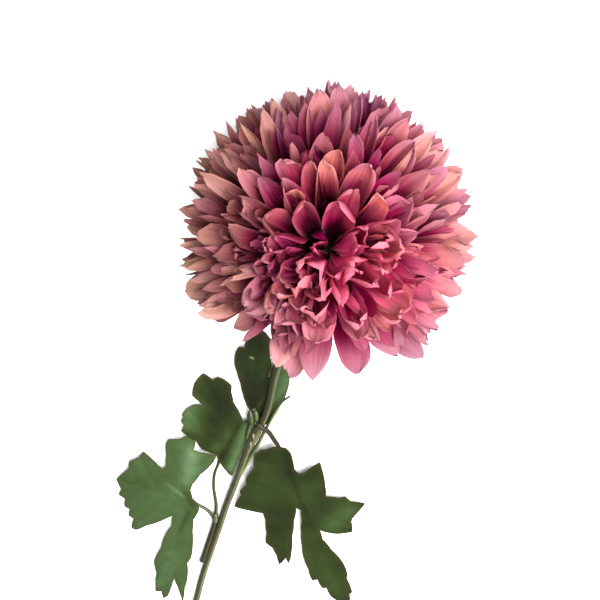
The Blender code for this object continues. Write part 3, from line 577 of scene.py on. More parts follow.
def petalSheets(plan, shape):
    # A petal is a path from the core to its tip that carries a section square to it; s runs along it
    # from 0 to 1 and u across it from -1 to 1.
    # path: reach grows as s; the polar angle bows by 4 s (1 - s) and curls by s^3 - s; the path leans
    #     aside by s^2.5 - s, strays by s^2 and ends by s^9; u s^5 slants the tip and a cosine notches it
    # half width: rise^1.6 (2.6 - 1.6 rise) to the widest place, then (1 - fall^taper)^point to the tip,
    #     with blunt fall^3 more on round tips, nicked by a sine along each side
    # section: cup u^2 + fold |u| - flip edge^2, with waves along the sides, creases and a long swell
    along = 1.0 - (1.0 - np.linspace(0.0, 1.0, bloom["alongSteps"])) ** 1.4
    step = np.linspace(-1.0, 1.0, bloom["acrossSteps"])
    across = np.sign(step) * np.abs(step) ** 0.85
    s, u = along[None, :, None], across[None, None, :]
    side, fullTurn = np.sign(u), 2 * np.pi
    polar, turn, reach, width, twist, bow, curl = (row[:, None, None] for row in plan)
    form = {key: values[:, None, None] for key, values in shape.items()}
    own = {key: draw.uniform(*ends, plan.shape[1])[:, None, None] for key, ends in petalDetail.items()}

    rise = np.clip(s / own["widest"], 0.0, 1.0)
    fall = np.clip((s - own["widest"]) / (1.0 - own["widest"]), 0.0, 1.0)
    taper = np.maximum(own["taper"] - 2.4 * form["point"], 1.3)
    rootWidth = bloom["rootWidth"]
    grown = rootWidth + (width * own["broad"] - rootWidth) * rise**1.6 * (2.6 - 1.6 * rise)
    half = 0.5 * grown * (1.0 - fall**taper) ** form["point"] + bloom["leastHalf"]
    half = half + 0.5 * grown * form["blunt"] * fall**3
    nicks = own["nick"] * np.sin(fullTurn * (own["nicks"] * s + own["nickPlace"] + 0.37 * side))
    half = half * (1.0 + (own["uneven"] * side + nicks) * s)

    root = bloom["coreRadius"] - bloom["rootSink"]
    radius = root + (reach - root) * s + own["slant"] * u * s**5
    radius = radius + own["tooth"] * np.cos(np.pi * own["teeth"] * u + own["toothPlace"]) * s**8
    angle = polar + bow * 4 * s * (1 - s) + curl * (s**3 - s)
    spoke, inward = spokes(angle, turn), spokes(angle - np.pi / 2, turn)
    tangent = spokes(np.pi / 2, turn + np.pi / 2)
    roll = (twist * np.minimum(1.0, 1.4 * s) + form["roll"] * s**2)[..., None]
    wide = np.cos(roll) * tangent + np.sin(roll) * inward
    lifted = np.cos(roll) * inward - np.sin(roll) * tangent

    edge = np.clip((np.abs(u) - 0.55) / 0.45, 0.0, 1.0)
    waves = np.sin(fullTurn * (own["waves"] * s + own["wavePlace"]) + side * own["waveSides"])
    creases = form["ruffle"] * np.cos(np.pi * own["creases"] * u + own["creasePlace"]) * s**2
    swell = own["swell"] * np.sin(fullTurn * (own["swells"] * s + own["swellPlace"])) * s
    lift = form["cup"] * (u**2 - 0.33) + form["fold"] * (np.sqrt(u**2 + 0.01) - 0.5)
    lift = lift - own["flip"] * edge**2 * s + form["wave"] * waves * np.abs(u) ** 1.5 * s
    lift = (lift + creases + own["skew"] * u * np.abs(u) * s + swell) * half
    sideways = form["lean"] * (s**2.5 - s) + form["stray"] * s**2 + own["tipAside"] * s**9
    points = bloomCore + radius[..., None] * spoke + (sideways + u * half)[..., None] * wide
    points = points + lift[..., None] * lifted
    points[..., 2] = aboveSurface(points[..., 2], bloom["leastHeight"])
    return points, along, across


def thinSolids(points, thickness):
    # closes each sheet of points: both faces stand half the thickness off it, along the cross product
    # of its two ways, and meet at its border
    count, rows, columns = points.shape[:3]
    normal = np.cross(np.gradient(points, axis=1), np.gradient(points, axis=2))
    normal /= np.maximum(np.linalg.norm(normal, axis=-1, keepdims=True), 1e-9)
    inner = np.zeros((rows, columns), bool)
    inner[1:-1, 1:-1] = True
    offset = normal * (0.5 * thickness) * inner[None, :, :, None]
    front, back = (points + offset).reshape(count, -1, 3), (points - offset)[:, inner]
    frontNumbers = np.arange(rows * columns).reshape(rows, columns)
    backNumbers = frontNumbers.copy()
    backNumbers[inner] = rows * columns + np.arange(inner.sum())
    faces = np.vstack([quads(frontNumbers), quads(backNumbers)[:, ::-1]])
    firsts = np.arange(count) * (front.shape[1] + back.shape[1])
    allFaces = (faces[None] + firsts[:, None, None]).reshape(-1, 4)
    border = np.concatenate([~inner.ravel(), np.zeros(int(inner.sum()), bool)])
    return np.concatenate([front, back], axis=1), allFaces, np.tile(border, count), inner


sheets, along, across = petalSheets(plan, shape)

# dyed polyester cloth: thin, soft and matt, with hardly any shine; the dye runs in streaks from wine red
# roots to bleached tips, fine pleats break the light, and some light glows through from behind; the ramps'
# near-black low ends and the darkening with depth in the bloom are painted shade between the petals
petalDye = {
    "rosy": ((0.0, "#120006"), (0.25, "#3c0020"), (0.45, "#700238"), (0.65, "#86204e"), (0.85, "#924464"),
             (1.0, "#a4687c")),
    "peachy": ((0.0, "#140005"), (0.25, "#460018"), (0.45, "#800834"), (0.65, "#982a48"), (0.85, "#a8565e"),
               (1.0, "#bc8476")),
    "mauve": ((0.0, "#100006"), (0.25, "#2e0026"), (0.45, "#540a48"), (0.65, "#642258"), (0.85, "#724068"),
              (1.0, "#845c76")),
    "brown": ((0.0, "#100403"), (0.25, "#2e0812"), (0.45, "#561c28"), (0.65, "#74443e"), (0.85, "#946c5a"),
              (1.0, "#b09478")),
    "pinkTip": ((0.6, "#983864"), (0.85, "#b46a84"), (1.0, "#c8909c")),
    "peachTip": ((0.6, "#9e3c60"), (0.85, "#c87e7e"), (1.0, "#e0ae9a")),
    # rim is a painted highlight along the petals' edges
    "brownTip": "#c09c8a", "rim": "#d48f92", "freshAndLit": "#e4508c",
    "bleachedPink": "#8e7c8a", "bleachedBrown": "#8e7a72", "patch": 14.0,  # mm
}
fabric, tree = newMaterial("dyedPolyesterPetal")
place, tint, shade = (
    addNode(tree, "Attribute", attribute_name=name) for name in ("petalPlace", "petalTint", "petalShade"))
lengthways, crossways, lot = addNode(tree, "SeparateColor", {"Color": place}).outputs
warm, purple, dull = addNode(tree, "SeparateColor", {"Color": tint}).outputs
depth, pale, lift = addNode(tree, "SeparateColor", {"Color": shade}).outputs
bright, freshAndLit = tint.outputs["Alpha"], shade.outputs["Alpha"]
# streaks and pleats run lengthways at their own width and length in mm, different on every petal; the
# cloth's pleats stand about 0.2 mm apart, so they are drawn twice as wide to show
bladePlace = addNode(tree, "CombineXYZ", {"X": crossways, "Y": lengthways, "Z": lot})
streaks, pleats = (
    addNode(tree, "TexNoise", {"Vector": addNode(tree, "VectorMath", {
        0: bladePlace, 1: (bloom["width"] / bloom[key][0], bloom["blade"] / bloom[key][1], 40.0)},
        operation="MULTIPLY"), "Scale": 1.0, "Detail": detail})
    for key, detail in (("streak", 3.0), ("pleat", 2.0)))
patchPlace = addNode(tree, "TexCoord").outputs["Object"]
patchScale = 1 / (petalDye["patch"] * mm)
patches = addNode(tree, "TexNoise", {"Vector": patchPlace, "Scale": patchScale, "Detail": 2.0})

# dye place = 0.5 length + 0.72 depth + 0.4 streaks + lift - 0.55, and never under 0.58 bright, so that
# on the lit side even the depth between the petals stays pink; the depth term is painted shade, darker
# deeper in the bloom, and bright is painted light
dyePlace = addNode(tree, "Math", {0: depth, 1: 0.72, 2: lift}, operation="MULTIPLY_ADD")
dyePlace = addNode(tree, "Math", {0: lengthways, 1: 0.5, 2: dyePlace}, operation="MULTIPLY_ADD")
dyePlace = addNode(tree, "Math", {0: streaks, 1: 0.4, 2: dyePlace}, operation="MULTIPLY_ADD")
dyePlace = addNode(tree, "Math", {0: dyePlace, 1: 0.55}, operation="SUBTRACT")
leastPlace = addNode(tree, "Math", {0: bright, 1: 0.58}, operation="MULTIPLY")
dyePlace = addNode(tree, "Math", {0: dyePlace, 1: leastPlace}, operation="MAXIMUM")
tipPlace = addNode(tree, "Math", {0: streaks, 1: 0.35, 2: lengthways}, operation="MULTIPLY_ADD")
rosy, peachy, mauve, brown = (
    addNode(tree, "ValToRGB", {"Fac": dyePlace}, petalDye[key])
    for key in ("rosy", "peachy", "mauve", "brown"))
pinkTip, peachTip = (
    addNode(tree, "ValToRGB", {"Fac": tipPlace}, petalDye[key]) for key in ("pinkTip", "peachTip"))

# how much of each dye lies over the one before: warm patches, violet streaks, and brown on the dull
# side, which on the bloom's left is painted shade
warmPatches = addNode(tree, "Math", {0: patches, 1: 1.2, 2: warm}, operation="MULTIPLY_ADD")
warmShare = addNode(tree, "Math", {0: warmPatches, 1: 0.6}, operation="SUBTRACT")
violetStreaks = addNode(tree, "Math", {0: streaks, 1: purple}, operation="MULTIPLY")
violetShare = addNode(tree, "MapRange", {
    "Value": violetStreaks, "From Min": 0.15, "From Max": 0.55, "To Max": 0.8})
brownShare = addNode(tree, "Math", {0: dull, 1: 0.85}, operation="MULTIPLY")
# faded tips, and a painted highlight on the rims as (distance from the middle)^9
peachTipShare = addNode(tree, "Math", {0: warmShare, 1: 1.5}, operation="MULTIPLY")
brownTipShare = addNode(tree, "Math", {0: dull, 1: 0.75}, operation="MULTIPLY")
fromTip = addNode(tree, "MapRange", {"Value": tipPlace, "From Min": 0.6, "From Max": 1.1, "To Max": 0.92})
tipShare = addNode(tree, "Math", {0: fromTip, 1: pale}, operation="MULTIPLY")
fromMiddle = addNode(tree, "Math", {0: crossways, 1: 2.0, 2: -1.0}, operation="MULTIPLY_ADD")
fromMiddle = addNode(tree, "Math", {0: fromMiddle}, operation="ABSOLUTE")
atRim = addNode(tree, "Math", {0: fromMiddle, 1: 9.0}, operation="POWER")
rimStrength = addNode(tree, "Math", {0: pale, 1: 0.5}, operation="MULTIPLY")
rimStrength = addNode(tree, "Math", {0: freshAndLit, 1: 0.35, 2: rimStrength}, operation="MULTIPLY_ADD")
rimShare = addNode(tree, "Math", {0: atRim, 1: rimStrength}, operation="MULTIPLY")
# petals under the hollow keep a fresher dye, painted stronger on the lit right, and light has bleached
# the outside more than the depth
freshPlace = addNode(tree, "MapRange", {"Value": dyePlace, "From Min": 0.3, "From Max": 0.7, "To Max": 0.62})
freshShare = addNode(tree, "Math", {0: freshPlace, 1: freshAndLit}, operation="MULTIPLY")
bleached = addNode(tree, "MapRange", {"Value": depth, "From Min": 0.75, "From Max": 1.05, "To Max": 0.5})

tipDye, bleachedDye, dye = pinkTip, petalDye["bleachedPink"], rosy
for share, colour in ((peachTipShare, peachTip), (brownTipShare, petalDye["brownTip"])):
    tipDye = addNode(tree, "Mix", {0: share, 6: tipDye, 7: colour}, data_type="RGBA")
bleachedDye = addNode(tree, "Mix", {0: dull, 6: bleachedDye, 7: petalDye["bleachedBrown"]}, data_type="RGBA")
for share, colour in ((warmShare, peachy), (violetShare, mauve), (brownShare, brown), (tipShare, tipDye),
                      (rimShare, petalDye["rim"]), (freshShare, petalDye["freshAndLit"]), (bleached, bleachedDye)):
    dye = addNode(tree, "Mix", {0: share, 6: dye, 7: colour}, data_type="RGBA")
dye = addNode(tree, "HueSaturation", {"Saturation": 1.06, "Value": 0.95, "Color": dye})
pleatBump = addNode(tree, "Bump", {"Strength": 0.5, "Distance": bloom["pleat"][0] * mm, "Height": pleats})
front = addNode(tree, "BsdfPrincipled", {
    "Base Color": dye, "Roughness": 0.62, "IOR": 1.57, "Specular IOR Level": 0.12, "Normal": pleatBump})
richness = addNode(tree, "MapRange", {
    "Value": depth, "From Min": 0.65, "From Max": 1.0, "To Min": 1.45, "To Max": 1.12})
through = addNode(tree, "HueSaturation", {"Saturation": richness, "Value": 1.2, "Color": dye})
glow = addNode(tree, "BsdfTranslucent", {"Color": through, "Normal": pleatBump})
cloth = addNode(tree, "MixShader", {0: 0.45, 1: front, 2: glow})
addNode(tree, "OutputMaterial", {"Surface": cloth})


def petalPiece(name, chosen, every):
    # the chosen petals as one piece, on every row and column of their grid or on every second one; its
    # layers are the place along and across, the dye with its painted light and shade, and distance from the
    # bloom's middle / radius, which darkens the dye deep in the bloom as painted shade
    points, faces, border, inner = thinSolids(sheets[chosen][:, ::every, ::every], bloom["thickness"])
    count, perPetal = points.shape[:2]
    grid = np.stack(np.meshgrid(along[::every], across[::every] * 0.5 + 0.5, indexing="ij"), -1)
    place = np.vstack([grid.reshape(-1, 2), grid[inner]])
    outwards = np.linalg.norm(points - bloomCentre, axis=-1) / bloom["radius"]

    def spread(key):
        # a value of each petal, repeated for its points
        return np.broadcast_to(shape[key][chosen][:, None], (count, perPetal))

    place = np.broadcast_to(place.T[:, None], (2, count, perPetal))
    layers = {
        "petalPlace": (*place, spread("lot"), np.ones_like(outwards)),
        "petalTint": [spread(key) for key in ("warm", "violet", "mutedAndShade", "bright")],
        "petalShade": (outwards, spread("pale"), spread("lift"), spread("freshAndLit")),
    }
    makePiece(name, points.reshape(-1, 3), faces.tolist(), fabric, "bloom",
              {layerName: np.stack(values, -1) for layerName, values in layers.items()}, border)


numbers = np.arange(petalCount)
isOuter = (numbers >= innerCount) & (numbers < lastOuter)
petalPiece("bloomInnerPetals", numbers[~isOuter], 1)
petalPiece("bloomOuterPetals", numbers[isOuter], 2)

# the round core: rings at even polar angles, closed at both poles
coreAngles = np.linspace(0, math.pi, bloom["coreRings"] + 1)[1:-1]
coreTurns = np.arange(bloom["coreSectors"]) * 2 * math.pi / bloom["coreSectors"]
corePoints = np.vstack([spokes(coreAngles[:, None], coreTurns[None]).reshape(-1, 3), bloomAxis, -bloomAxis])
coreRings = np.arange(len(corePoints) - 2).reshape(-1, bloom["coreSectors"])
coreFaces = ringFaces(coreRings, len(corePoints) - 2, len(corePoints) - 1)
# the core's layers give it the darkest dye: the roots' wine red with the hollow's painted shade
coreLayer = np.tile((0.0, 0.5, 0.5, 1.0), (len(corePoints), 1))
makePiece("bloomCore", bloomCore + bloom["coreRadius"] * corePoints, coreFaces, fabric, "bloom", {
    "petalPlace": coreLayer, "petalTint": coreLayer * (1, 1, 1, 0), "petalShade": coreLayer * (0.2, 0, 0, 0)})

print("leaves")
leafLook = {
    "wall": 0.4, "cell": 1.7, "edgeStep": 1.6, "bulge": 0.03, "longestArc": 12.0, "leastHeight": 0.6,
    "pillow": 0.4, "pillowWidth": 3.2, "grooveWidth": 0.55, "grooveDepth": 0.12, "sink": 0.3,
    "edgeDroop": 0.3, "droopWidth": 1.5, "floorClear": (0.45, 0.4),
    # rows of points beside a vein, how far others keep from it and from the edge, and the closest two
    "veinRows": (-0.6, 0.0, 0.6), "veinStep": 1.5, "veinClear": 1.15, "edgeClear": 0.5, "closest": 0.45,
    "veinWidth": 0.5, "rimWidth": 0.9,
    "greens": ((0.0, "#0a0c03"), (0.2, "#171e08"), (0.4, "#273314"), (0.62, "#36482a"), (0.82, "#506446"),
               (1.0, "#82997c")),
    "olive": "#36401a", "vein": "#1c240e", "rim": "#3a3019",
    "mottle": 11.0, "cast": 26.0, "thread": 2.0, "threadDepth": 0.2,  # mm
}
# veins run from the stalk to the lobes; patches are lines with a radius and how much lighter or darker,
# painted light and shade where the lobes catch or lose the light
leaves = {
    "leaf_upper": {
        "base": (4.5, -145.0, 6.3), "slope": (0.0, 0.0), "fall": 0.02,
        "ripple": 0.5, "wave": 30.0, "heading": 60.0, "shade": 0.14,
        "outline": (
            (-9, -90), (-10, -93), (-11, -98), (-11, -105), (-14, -106), (-14.5, -111),
            (-13, -117), (-10.5, -121), (-6, -128), (-3, -134), (0, -139), (3, -143), (5.5, -142.5),
            (8.5, -138), (9, -129), (7, -119), (7, -112), (4, -106), (4, -102), (2, -96), (-3, -92),
        ),
        "veins": (
            ((4, -143), (1, -130), (-2, -115), (-5, -101), (-8, -92)),
            ((1, -130), (-6, -121), (-12, -112)), ((0, -125), (4, -117), (6, -113)),
            ((-2, -115), (-8, -108), (-10, -100)), ((-3, -110), (1, -103), (3, -99)),
            ((2, -134), (6, -127), (7.5, -122)),
        ),
        "patches": (
            (4, -106, 6, -120, 5.5, 1.0), (-5.6, -110.2, -4.2, -110.6, 0.7, 9.0),
            (0, -127, 3, -140, 8, -0.35),
        ),
    },
    "leaf_behind": {
        "base": (14.0, -153.0, 5.2), "slope": (0.0, 0.0), "fall": 0.045,
        "ripple": 0.3, "wave": 30.0, "heading": 0.0, "shade": 0.5,
        "outline": (
            (14, -153), (8.5, -147), (6.5, -141), (7, -132), (8, -121), (8.5, -110), (11, -103),
            (15, -107), (19, -117), (20.5, -126), (20, -136), (19, -144), (17, -150),
        ),
        "veins": (
            ((14, -152), (14.6, -138), (14, -122), (11.5, -105)),
            ((14.5, -142), (18, -134), (19.5, -127)), ((14.5, -140), (10, -133), (8, -127)),
            ((14.2, -129), (17, -121), (17.8, -115)), ((14.2, -127), (10.5, -119), (9, -114)),
        ),
        "patches": ((18, -120, 18, -135, 5, 0.35), (9, -139, 10, -146, 6, -0.35)),
    },
    "leaf_middle": {
        "base": (-1.9, -184.0, 7.0), "slope": (0.0, 0.0), "fall": 0.06,
        "ripple": 0.8, "wave": 34.0, "heading": 20.0, "shade": 0.3,
        "outline": (
            (-21, -150), (-29, -146), (-30, -138), (-27, -130), (-21, -132), (-19, -129), (-16, -129),
            (-10, -132), (-9, -136), (-6, -142), (-4, -144), (1, -150), (3, -153), (5, -152),
            (7.3, -148.5), (8, -152), (8.3, -162), (8, -184), (8, -191), (6, -190.5), (3, -188),
            (-1, -184.5), (-5, -179.5), (-14, -179), (-18, -175), (-25, -172), (-28.5, -170),
            (-28, -166), (-30.5, -164), (-30, -161), (-31, -159.5), (-30, -155.5), (-26, -151),
        ),
        "veins": (
            ((-1.9, -185), (-3.5, -175), (-8, -161), (-16, -144), (-26, -133)),
            ((-5, -171), (-15, -168), (-28, -163)), ((-3.5, -175), (1, -165), (6, -152)),
            ((-8, -161), (-9, -148), (-13, -133)), ((-12, -152), (-20, -147), (-28, -142)),
            ((-12, -168.8), (-19, -172), (-24, -171)), ((-14, -168), (-22, -160), (-28, -155)),
            ((0, -167), (5, -172), (7.5, -180)),
        ),
        "patches": (
            (-17, -137, -9, -146, 9, -0.3), (-29, -155, -26, -163, 8, 1.2), (-13, -158, -9, -168, 6, -0.35),
            (-3, -164, -7, -176, 4, 0.55), (1.6, -154, -1.6, -180, 1.3, -0.5),
            (6, -156, 5.5, -186, 3.6, 1.3),
        ),
    },
    "leaf_lower_left": {
        "base": (-3.7, -220.0, 6.2), "slope": (0.03, 0.05), "fall": 0.0,
        "ripple": 0.8, "wave": 40.0, "heading": 30.0, "shade": 0.6,
        "outline": (
            (-31, -200), (-45, -190), (-46.5, -195), (-51, -199.5), (-50, -205), (-54.5, -216),
            (-50, -222), (-50.5, -227), (-46, -229), (-45, -235), (-41.5, -235.5), (-41, -241),
            (-37.5, -242), (-37, -250), (-34, -250.5), (-29, -244), (-18, -233.5), (-16.5, -232),
            (-15, -240), (-17, -249), (-16.5, -258), (-17.5, -271), (-13.5, -280), (-11, -292),
            (-10, -296), (-6.5, -294), (-4, -299.5), (-2, -296), (-2.5, -280), (2, -287), (6, -294),
            (8, -299), (6, -286), (5, -276), (2, -266), (3, -262), (1, -250), (-2, -240), (-4, -231),
            (-3, -222), (-5, -218), (-9, -215), (-12, -209), (-12, -204), (-10, -195), (-5.5, -184),
            (-5, -178.5), (-14, -179), (-18.5, -179), (-19, -172.5), (-25, -170), (-28, -174),
            (-34, -177), (-34.5, -181), (-32, -189), (-30, -197),
        ),
        "veins": (
            ((-4, -220), (-10, -219), (-16, -217), (-33, -216), (-52, -215)),
            ((-14, -217), (-19, -204), (-22, -190), (-24, -173)),
            ((-12, -218.5), (-9, -236), (-8, -262), (-8, -292)),
            ((-20, -216.7), (-28, -226), (-36, -246)), ((-28, -216.3), (-38, -205), (-46, -194)),
            ((-36, -216), (-43, -224), (-48, -231)), ((-40, -215.8), (-46, -208), (-50, -202)),
            ((-20.5, -198), (-28, -190), (-32, -182)), ((-20.5, -196), (-13, -188), (-8, -180)),
            ((-8.5, -250), (-4, -258), (1, -266)), ((-8, -262), (-12, -269), (-15, -274)),
            ((-8, -270), (-2, -279), (4, -290)), ((-28, -226), (-34, -231), (-41, -237)),
        ),
        "patches": (
            (-19, -179, -16, -202, 5, 0.34), (-13, -213, -7, -221, 1.8, -0.3),
            (-8, -226, -9, -242, 1.4, -0.25),
            (-46, -214, -34, -204, 12, -0.12), (-9, -262, -8, -285, 6, 0.1),
            (-26, -209, -14, -216, 1.0, 0.25),
        ),
    },
    "leaf_lower_right": {
        "base": (25.0, -160.0, 11.6), "slope": (0.0, 0.0), "fall": 0.085,
        "ripple": 0.7, "wave": 45.0, "heading": 70.0, "shade": 0.24,
        "outline": (
            (23, -161), (20, -164), (17, -166), (15, -171), (17.5, -180), (15.5, -188), (17, -193),
            (15, -199), (16.5, -202), (15.5, -213), (25, -213), (33, -212), (36, -217), (40, -228),
            (41.5, -235), (47, -238), (51, -243), (55, -250), (57, -244), (60, -247.5), (60, -243),
            (55, -224), (52, -212), (50, -201.5), (53, -202.5), (56, -210), (59, -220), (63, -231),
            (68, -242), (73, -249), (78, -257), (81, -255.5), (86, -261.5), (88.5, -260.5), (93, -266.5),
            (99, -269.5), (107, -270.5), (104, -262), (105, -260), (98, -250), (97, -246), (91.5, -238),
            (81, -229), (73, -222), (69, -215), (79, -215), (88, -211), (85, -204), (84.5, -201.5),
            (88, -188), (79, -189), (75, -186), (72, -188), (64, -189), (61, -181), (55, -169),
            (52, -164), (46, -175), (43.5, -176.5), (40, -174), (34, -162), (30, -159),
        ),
        "veins": (
            ((26, -160), (32, -169), (38, -178), (46, -190)),
            ((38, -178), (34, -192), (24, -208)), ((43, -185), (46, -206), (50, -225), (56, -246)),
            ((46, -190), (60, -210), (76, -231), (103, -267)), ((46, -190), (60, -199), (84, -206)),
            ((43, -185), (50, -179), (52, -168)), ((34, -171.5), (27, -174), (18, -173)),
            ((35, -189), (27, -191), (18, -191)), ((47, -211), (43, -221), (43, -231)),
            ((66, -218), (70, -232), (80, -253)), ((76, -231), (86, -240), (95, -251)),
            ((64, -200.5), (74, -197), (84, -192)), ((49, -221), (55, -231), (58, -240)),
        ),
        "patches": (
            (30, -158, 38, -177, 2.6, -0.5), (38, -177, 49, -193, 1.6, -0.5),
            (49, -193, 58, -205, 1.0, -0.35),
            (27, -184, 27, -202, 9, 0.2), (81, -196, 75, -208, 8, 1.1), (60, -228, 95, -260, 12, 0.6),
            (19, -167, 24, -164, 6, -0.3), (56, -169, 64, -188, 1.0, -0.5), (57, -180, 52, -190, 6, 0.35),
        ),
    },
}


def edgePoints(outline, step, bulge):
    # the outline's corners joined by shallow arcs: corner + t * way + bulge * length * 4 t (1 - t) outwards
    corners = np.array(outline, float)
    following = np.roll(corners, -1, axis=0)
    area = np.sum(corners[:, 0] * following[:, 1] - following[:, 0] * corners[:, 1])
    found = []
    for here, there in zip(corners, following):
        way = there - here
        length = float(np.hypot(*way))
        count = max(1, round(length / step))
        t = (np.arange(count) / count)[:, None]
        outwards = np.array((way[1], -way[0])) / length * math.copysign(1.0, area)
        height = bulge * min(length, leafLook["longestArc"])
        found.append(here + t * way + height * 4 * t * (1 - t) * outwards)
    return np.vstack(found)


def distanceToLines(places, lines):
    # the least distance from each place to any of the polylines: |place - a - share * way|, where share
    # is (place - a) . way / way . way, kept between 0 and 1
    least = np.full(len(places), 1e9)
    for line in lines:
        for a, b in zip(np.array(line, float)[:-1], np.array(line, float)[1:]):
            way = b - a
            share = np.clip((places - a) @ way / (way @ way), 0.0, 1.0)
            least = np.minimum(least, np.hypot(*(places - a - share[:, None] * way).T))
    return least


def insideOutline(places, edge):
    # a place is inside where a line to its right crosses the edge an odd number of times
    a, b = edge, np.roll(edge, -1, axis=0)
    x, y = places[:, 0, None], places[:, 1, None]
    crosses = (a[:, 1] > y) != (b[:, 1] > y)
    rise = np.where(b[:, 1] == a[:, 1], 1e-9, b[:, 1] - a[:, 1])
    at = a[:, 0] + (y - a[:, 1]) * (b[:, 0] - a[:, 0]) / rise
    return (crosses & (x < at)).sum(axis=1) % 2 == 1


def bladeHeight(leaf, x, y):
    # base + slope . (place - base) - fall * distance + ripple * sin(2 pi run / wave), eased above the surface
    baseX, baseY, baseZ = leaf["base"]
    heading = math.radians(leaf["heading"])
    run = (x - baseX) * math.cos(heading) + (y - baseY) * math.sin(heading)
    height = baseZ + leaf["slope"][0] * (x - baseX) + leaf["slope"][1] * (y - baseY)
    height = height - leaf["fall"] * np.hypot(x - baseX, y - baseY)
    height = height + leaf["ripple"] * np.sin(2 * math.pi * run / leaf["wave"])
    return aboveSurface(height, leafLook["leastHeight"])


def leafBlade(leaf):
    # even triangles inside the outline, closer along the veins; the blade swells between its veins by
    # pillow * (1 - exp(-(distance / width)^2)), dips along them and droops at its edge by exp(-distance)
    look = leafLook
    edge = edgePoints(leaf["outline"], look["edgeStep"], look["bulge"])
    closedEdge = np.vstack([edge, edge[:1]])
    low, high = edge.min(axis=0), edge.max(axis=0)
    rows = np.arange(low[1], high[1], look["cell"] * 0.87)
    gridX, gridY = np.meshgrid(np.arange(low[0], high[0], look["cell"]), rows)
    gridX = gridX + (np.arange(len(rows)) % 2)[:, None] * look["cell"] / 2
    grid = np.column_stack([gridX.ravel(), gridY.ravel()])
    found = [grid[distanceToLines(grid, leaf["veins"]) > look["veinClear"]]]
    for vein in leaf["veins"]:
        line = smoothRoute([(x, y, 0) for x, y in vein], look["veinStep"])[:, :2]
        way = np.gradient(line, axis=0)
        across = np.column_stack([-way[:, 1], way[:, 0]]) / np.hypot(*way.T)[:, None]
        found += [line + across * offset for offset in look["veinRows"]]
    inner = np.vstack(found)
    inner = inner[insideOutline(inner, edge) & (distanceToLines(inner, [closedEdge]) > look["edgeClear"])]
    inner = inner[np.unique(np.round(inner / look["closest"]).astype(int), axis=0, return_index=True)[1]]
    border = [list(range(len(edge)))]
    flat, _, faces, *_ = delaunay_2d_cdt(np.vstack([edge, inner]).tolist(), [], border, 1, 1e-4)
    flat = np.array(flat)
    fromVein, fromEdge = distanceToLines(flat, leaf["veins"]), distanceToLines(flat, [closedEdge])
    height = bladeHeight(leaf, flat[:, 0], flat[:, 1]) - look["sink"]
    height += look["pillow"] * (1 - np.exp(-((fromVein / look["pillowWidth"]) ** 2)))
    height -= look["grooveDepth"] * np.exp(-((fromVein / look["grooveWidth"]) ** 2))
    height -= look["edgeDroop"] * np.exp(-fromEdge / look["droopWidth"])
    # tone: each leaf's shade, lighter and darker along its patches as painted light and shade
    tone = np.full(len(flat), leaf["shade"])
    for fromX, fromY, toX, toY, radius, lighter in leaf["patches"]:
        near = np.exp(-((distanceToLines(flat, [((fromX, fromY), (toX, toY))]) / radius) ** 2))
        tone = tone + leaf["shade"] * lighter * near
    onVein, onRim = np.exp(-((fromVein / look["veinWidth"]) ** 2)), np.exp(-fromEdge / look["rimWidth"])
    layer = np.column_stack([onVein, np.clip(tone, 0, 1), onRim, np.ones(len(flat))])
    return np.column_stack([flat, aboveSurface(height, *look["floorClear"])]), faces, layer


# dyed polyester leaf cloth: woven and matt, mottled deep green with an olive cast in places, slightly
# darker veins, and a cut edge that the heat has browned; a little light glows through; the lighter and
# darker patches of tone are painted light and shade
leafCloth, tree = newMaterial("dyedPolyesterLeaf")
leafData = addNode(tree, "Attribute", attribute_name="leafData")
vein, tone, rim = addNode(tree, "SeparateColor", {"Color": leafData}).outputs
spot = addNode(tree, "TexCoord").outputs["Object"]
mottling, castNoise = (
    addNode(tree, "TexNoise", {"Vector": spot, "Scale": 1 / (leafLook[key] * mm), "Detail": detail})
    for key, detail in (("mottle", 4.0), ("cast", 2.0)))
dyeDepth = addNode(tree, "Math", {0: mottling, 1: 0.22, 2: tone}, operation="MULTIPLY_ADD")
dyeDepth = addNode(tree, "Math", {0: dyeDepth, 1: 0.11}, operation="SUBTRACT")
leafDye = addNode(tree, "ValToRGB", {"Fac": dyeDepth}, leafLook["greens"])
oliveShare = addNode(tree, "MapRange", {
    "Value": castNoise, "From Min": 0.45, "From Max": 0.75, "To Max": 0.22})
veinShare = addNode(tree, "Math", {0: vein, 1: 0.16}, operation="MULTIPLY")
rimShare = addNode(tree, "Math", {0: rim, 1: mottling}, operation="MULTIPLY")
for share, key in ((oliveShare, "olive"), (veinShare, "vein"), (rimShare, "rim")):
    leafDye = addNode(tree, "Mix", {0: share, 6: leafDye, 7: leafLook[key]}, data_type="RGBA")
# the weave's threads stand 0.4 mm apart, too fine to show, so they are drawn 2 mm apart; a wave texture
# of scale 1 has 20 / (2 pi) bands in a metre
threadScale = 2 * math.pi / 20 / (leafLook["thread"] * mm)
warp, weft = (
    addNode(tree, "TexWave", {"Vector": spot, "Scale": threadScale, "Distortion": 1.5, "Detail": 1.0},
            bands_direction=direction).outputs["Fac"] for direction in ("X", "Y"))
weave = addNode(tree, "Math", {0: warp, 1: weft}, operation="MULTIPLY")
threadDepth = leafLook["threadDepth"] * mm
weaveBump = addNode(tree, "Bump", {"Strength": 0.2, "Distance": threadDepth, "Height": weave})
leafFront = addNode(tree, "BsdfPrincipled", {
    "Base Color": leafDye, "Roughness": 0.62, "IOR": 1.57, "Specular IOR Level": 0.1, "Normal": weaveBump})
leafGlow = addNode(tree, "BsdfTranslucent", {"Color": leafDye})
leafSurface = addNode(tree, "MixShader", {0: 0.12, 1: leafFront, 2: leafGlow})
addNode(tree, "OutputMaterial", {"Surface": leafSurface})

for leafName, leaf in leaves.items():
    points, faces, layer = leafBlade(leaf)
    pieceName = "leaf" + "".join(word.capitalize() for word in leafName.split("_")[1:]) + "Blade"
    makePiece(pieceName, points, faces, leafCloth, leafName, {"leafData": layer},
              wall=leafLook["wall"])

